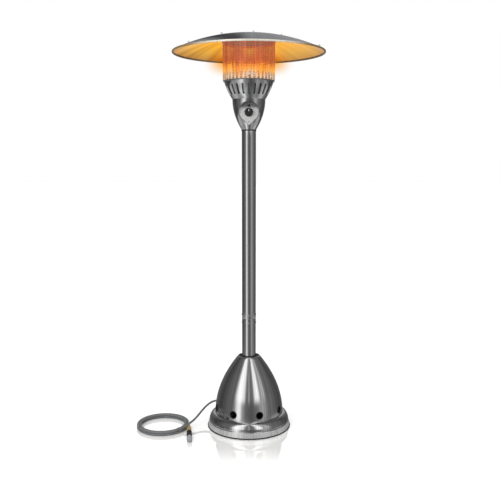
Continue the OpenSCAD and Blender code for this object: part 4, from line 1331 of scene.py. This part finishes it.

# %% [markdown]
# ## Studio
# Polished metal shows the room and not itself, so its look is set by what stands round it. The
# floor is white with a weak, sharp reflection that fades towards the front. The world is white
# for the picture and for matt surfaces. For shiny ones it is a dark studio with upright strip
# lights: one set is level, where the pole looks, one is high, where the bell and base look, and
# one is below, where the bowl and housing look. The flames' glow beside them is painted on a clear
# sheet that only tints what is behind it orange.

# %% Floor
floor_mesh = bmesh.new()
bmesh.ops.create_grid(floor_mesh, x_segments=1, y_segments=1, size=40)
bmesh.ops.translate(floor_mesh, verts=floor_mesh.verts, vec=(0, 0, -0.0004))
floor_finish, tree = empty_material("studio_floor")
place = put(tree, "ShaderNodeTexCoord").outputs["Object"]
forward = put(tree, "ShaderNodeSeparateXYZ", {0: place}).outputs["Y"]
matt = put(tree, "ShaderNodeBsdfDiffuse", {"Color": (1, 1, 1, 1)})
gloss = put(tree, "ShaderNodeBsdfAnisotropic", {"Color": (1, 1, 1, 1), "Roughness": 0.0})
amount = spread(tree, forward, -0.7, -0.3, 0.0, 0.42)
mixed = put(tree, "ShaderNodeMixShader", {0: amount, 1: matt.outputs[0], 2: gloss.outputs[0]})
put(tree, "ShaderNodeOutputMaterial", {"Surface": mixed.outputs[0]})
floor = new_object("studio_floor", floor_mesh, floor_finish)
floor.visible_glossy = False
print("made the floor")


# %% Glow beside the flames
FLAMES_Z = EMITTER_FOOT + 0.095
GLOW_W = 0.54
GLOW_H = 0.18
GLOW_REACH = 0.11
GLOW_RISE = 0.085
glow_mesh = bmesh.new()
bmesh.ops.create_grid(glow_mesh, x_segments=1, y_segments=1, size=1)
bmesh.ops.scale(glow_mesh, verts=glow_mesh.verts, vec=(GLOW_W / 2, GLOW_H / 2, 1))
moved(glow_mesh, Matrix.Translation((0, 0, FLAMES_Z)) @ Matrix.Rotation(math.radians(90), 4, "X"))
# Painted glow: a clear sheet that tints what is behind it orange, strongest beside the flames and fading
# away from them, standing in for the flames' light.
painted_glow_sheet, tree = empty_material("painted_glow_sheet")
place = put(tree, "ShaderNodeTexCoord").outputs["Object"]
parts = put(tree, "ShaderNodeSeparateXYZ", {0: place})
beside = maths(tree, "SUBTRACT", maths(tree, "ABSOLUTE", parts.outputs["X"]), EMITTER_R)
beside = maths(tree, "DIVIDE", maths(tree, "MAXIMUM", beside, 0.0), GLOW_REACH)
beyond = maths(tree, "DIVIDE", maths(tree, "SUBTRACT", parts.outputs["Z"], FLAMES_Z), GLOW_RISE)
reach = put(tree, "ShaderNodeCombineXYZ", {"X": beside, "Y": beyond})
reach = put(tree, "ShaderNodeVectorMath", {0: reach.outputs[0]}, operation="LENGTH")
fading = spread(tree, reach.outputs["Value"], 0.0, 1.0, 1.0, 0.0)
glow_tint = blend_colours(tree, fading, (1.0, 1.0, 1.0), (0.97, 0.5, 0.1))
clear = put(tree, "ShaderNodeBsdfTransparent", {"Color": glow_tint})
put(tree, "ShaderNodeOutputMaterial", {"Surface": clear.outputs[0]})
heat_glow = new_object("heat_glow", glow_mesh, painted_glow_sheet)
print("made the glow")


# %% Strip lights
def strips(tree, share, lights):
    """A ramp round the horizon from (azimuth, brightness) pairs; 0 degrees is the front."""
    return ramp(tree, share, [((azimuth + 180) / 360, value) for azimuth, value in lights])


world = bpy.data.worlds.new("studio")
scene.world = world
world.use_nodes = True
tree = world.node_tree
tree.nodes.clear()
direction = put(tree, "ShaderNodeTexCoord").outputs["Generated"]
parts = put(tree, "ShaderNodeSeparateXYZ", {0: direction})
front = maths(tree, "MULTIPLY", parts.outputs["Y"], -1.0)
azimuth = maths(tree, "ARCTAN2", parts.outputs["X"], front)
share = put(
    tree, "ShaderNodeMapRange", {"Value": azimuth, "From Min": -math.pi, "From Max": math.pi}
).outputs[0]
elevation = maths(tree, "ARCSINE", parts.outputs["Z"])
low_lights = strips(tree, share, [
    (-180, 0.3), (-150, 0.12), (-110, 0.05), (-80, 0.12), (-60, 0.12), (-50, 0.3), (-42, 0.95),
    (-30, 1.0), (-22, 0.35), (-8, 0.13), (12, 0.09), (30, 0.18), (42, 0.4), (54, 0.36),
    (66, 0.18), (100, 0.12), (130, 0.06), (155, 0.12), (180, 0.3),
])
high_lights = strips(tree, share, [
    (-180, 0.3), (-177, 0.07), (-174, 0.06), (-171, 0.3), (-164, 0.5), (-150, 0.15), (-115, 0.04),
    (-80, 0.12), (-56, 0.15), (-50, 0.6), (-44, 1.2), (-26, 1.3), (-16, 0.9), (-11, 0.2),
    (-3, 0.13), (0, 0.6), (3, 0.13), (17, 0.15), (22, 1.0), (30, 1.3), (38, 1.1), (44, 0.25),
    (50, 0.5), (60, 0.5), (66, 0.16), (100, 0.12), (125, 0.05), (150, 0.15), (164, 0.5),
    (172, 0.33), (180, 0.3),
])
below_lights = strips(tree, share, [
    (-180, 0.25), (-130, 0.34), (-110, 0.46), (-92, 0.38), (-80, 0.3), (-62, 0.38), (-48, 0.75),
    (-38, 0.9), (-25, 0.42), (-10, 0.26), (6, 0.1), (25, 0.14), (45, 0.34), (60, 0.22),
    (75, 0.24), (92, 0.42), (112, 0.45), (130, 0.12), (180, 0.1),
])
print("made the strip lights")

# %% Mixing the studio
above = spread(tree, elevation, math.radians(3), math.radians(16))
below = spread(tree, elevation, math.radians(-15), math.radians(-21))
lights = blend_colours(tree, above, low_lights, high_lights)
lights = blend_colours(tree, below, lights, below_lights)
path = put(tree, "ShaderNodeLightPath")
soft_gloss = maths(tree, "SUBTRACT", path.outputs["Is Glossy Ray"], path.outputs["Is Singular Ray"])
room = blend_colours(tree, soft_gloss, (1.0, 1.0, 1.0), lights)
strength = spread(tree, path.outputs["Is Diffuse Ray"], 0.0, 1.0, 1.0, 1.2)
backdrop = put(tree, "ShaderNodeBackground", {"Color": room, "Strength": strength})
put(tree, "ShaderNodeOutputWorld", {"Surface": backdrop.outputs[0]})
print("made the world")


# %% Lamps
def soft_lamp(name, at, aim, size, power, colour):
    data = bpy.data.lights.new(name, "AREA")
    data.size = size
    data.energy = power
    data.color = colour
    lamp = bpy.data.objects.new(name, data)
    lamp.location = at
    lamp.rotation_euler = (Vector(aim) - Vector(at)).to_track_quat("-Z", "Y").to_euler()
    scene.collection.objects.link(lamp)
    lamp.visible_glossy = False
    lamp.visible_camera = False


soft_lamp("key", (-2.2, -3.0, 2.8), (0, 0, 1.0), 1.6, 60, (1, 1, 1))
ember = bpy.data.lights.new("ember", "POINT")
ember.energy = 2
ember.color = (1.0, 0.55, 0.2)
ember.shadow_soft_size = 0.05
ember_lamp = bpy.data.objects.new("ember", ember)
ember_lamp.location = (0, 0, EMITTER_FOOT + 0.1)
ember_lamp.visible_glossy = False
scene.collection.objects.link(ember_lamp)
print("made the lamps")
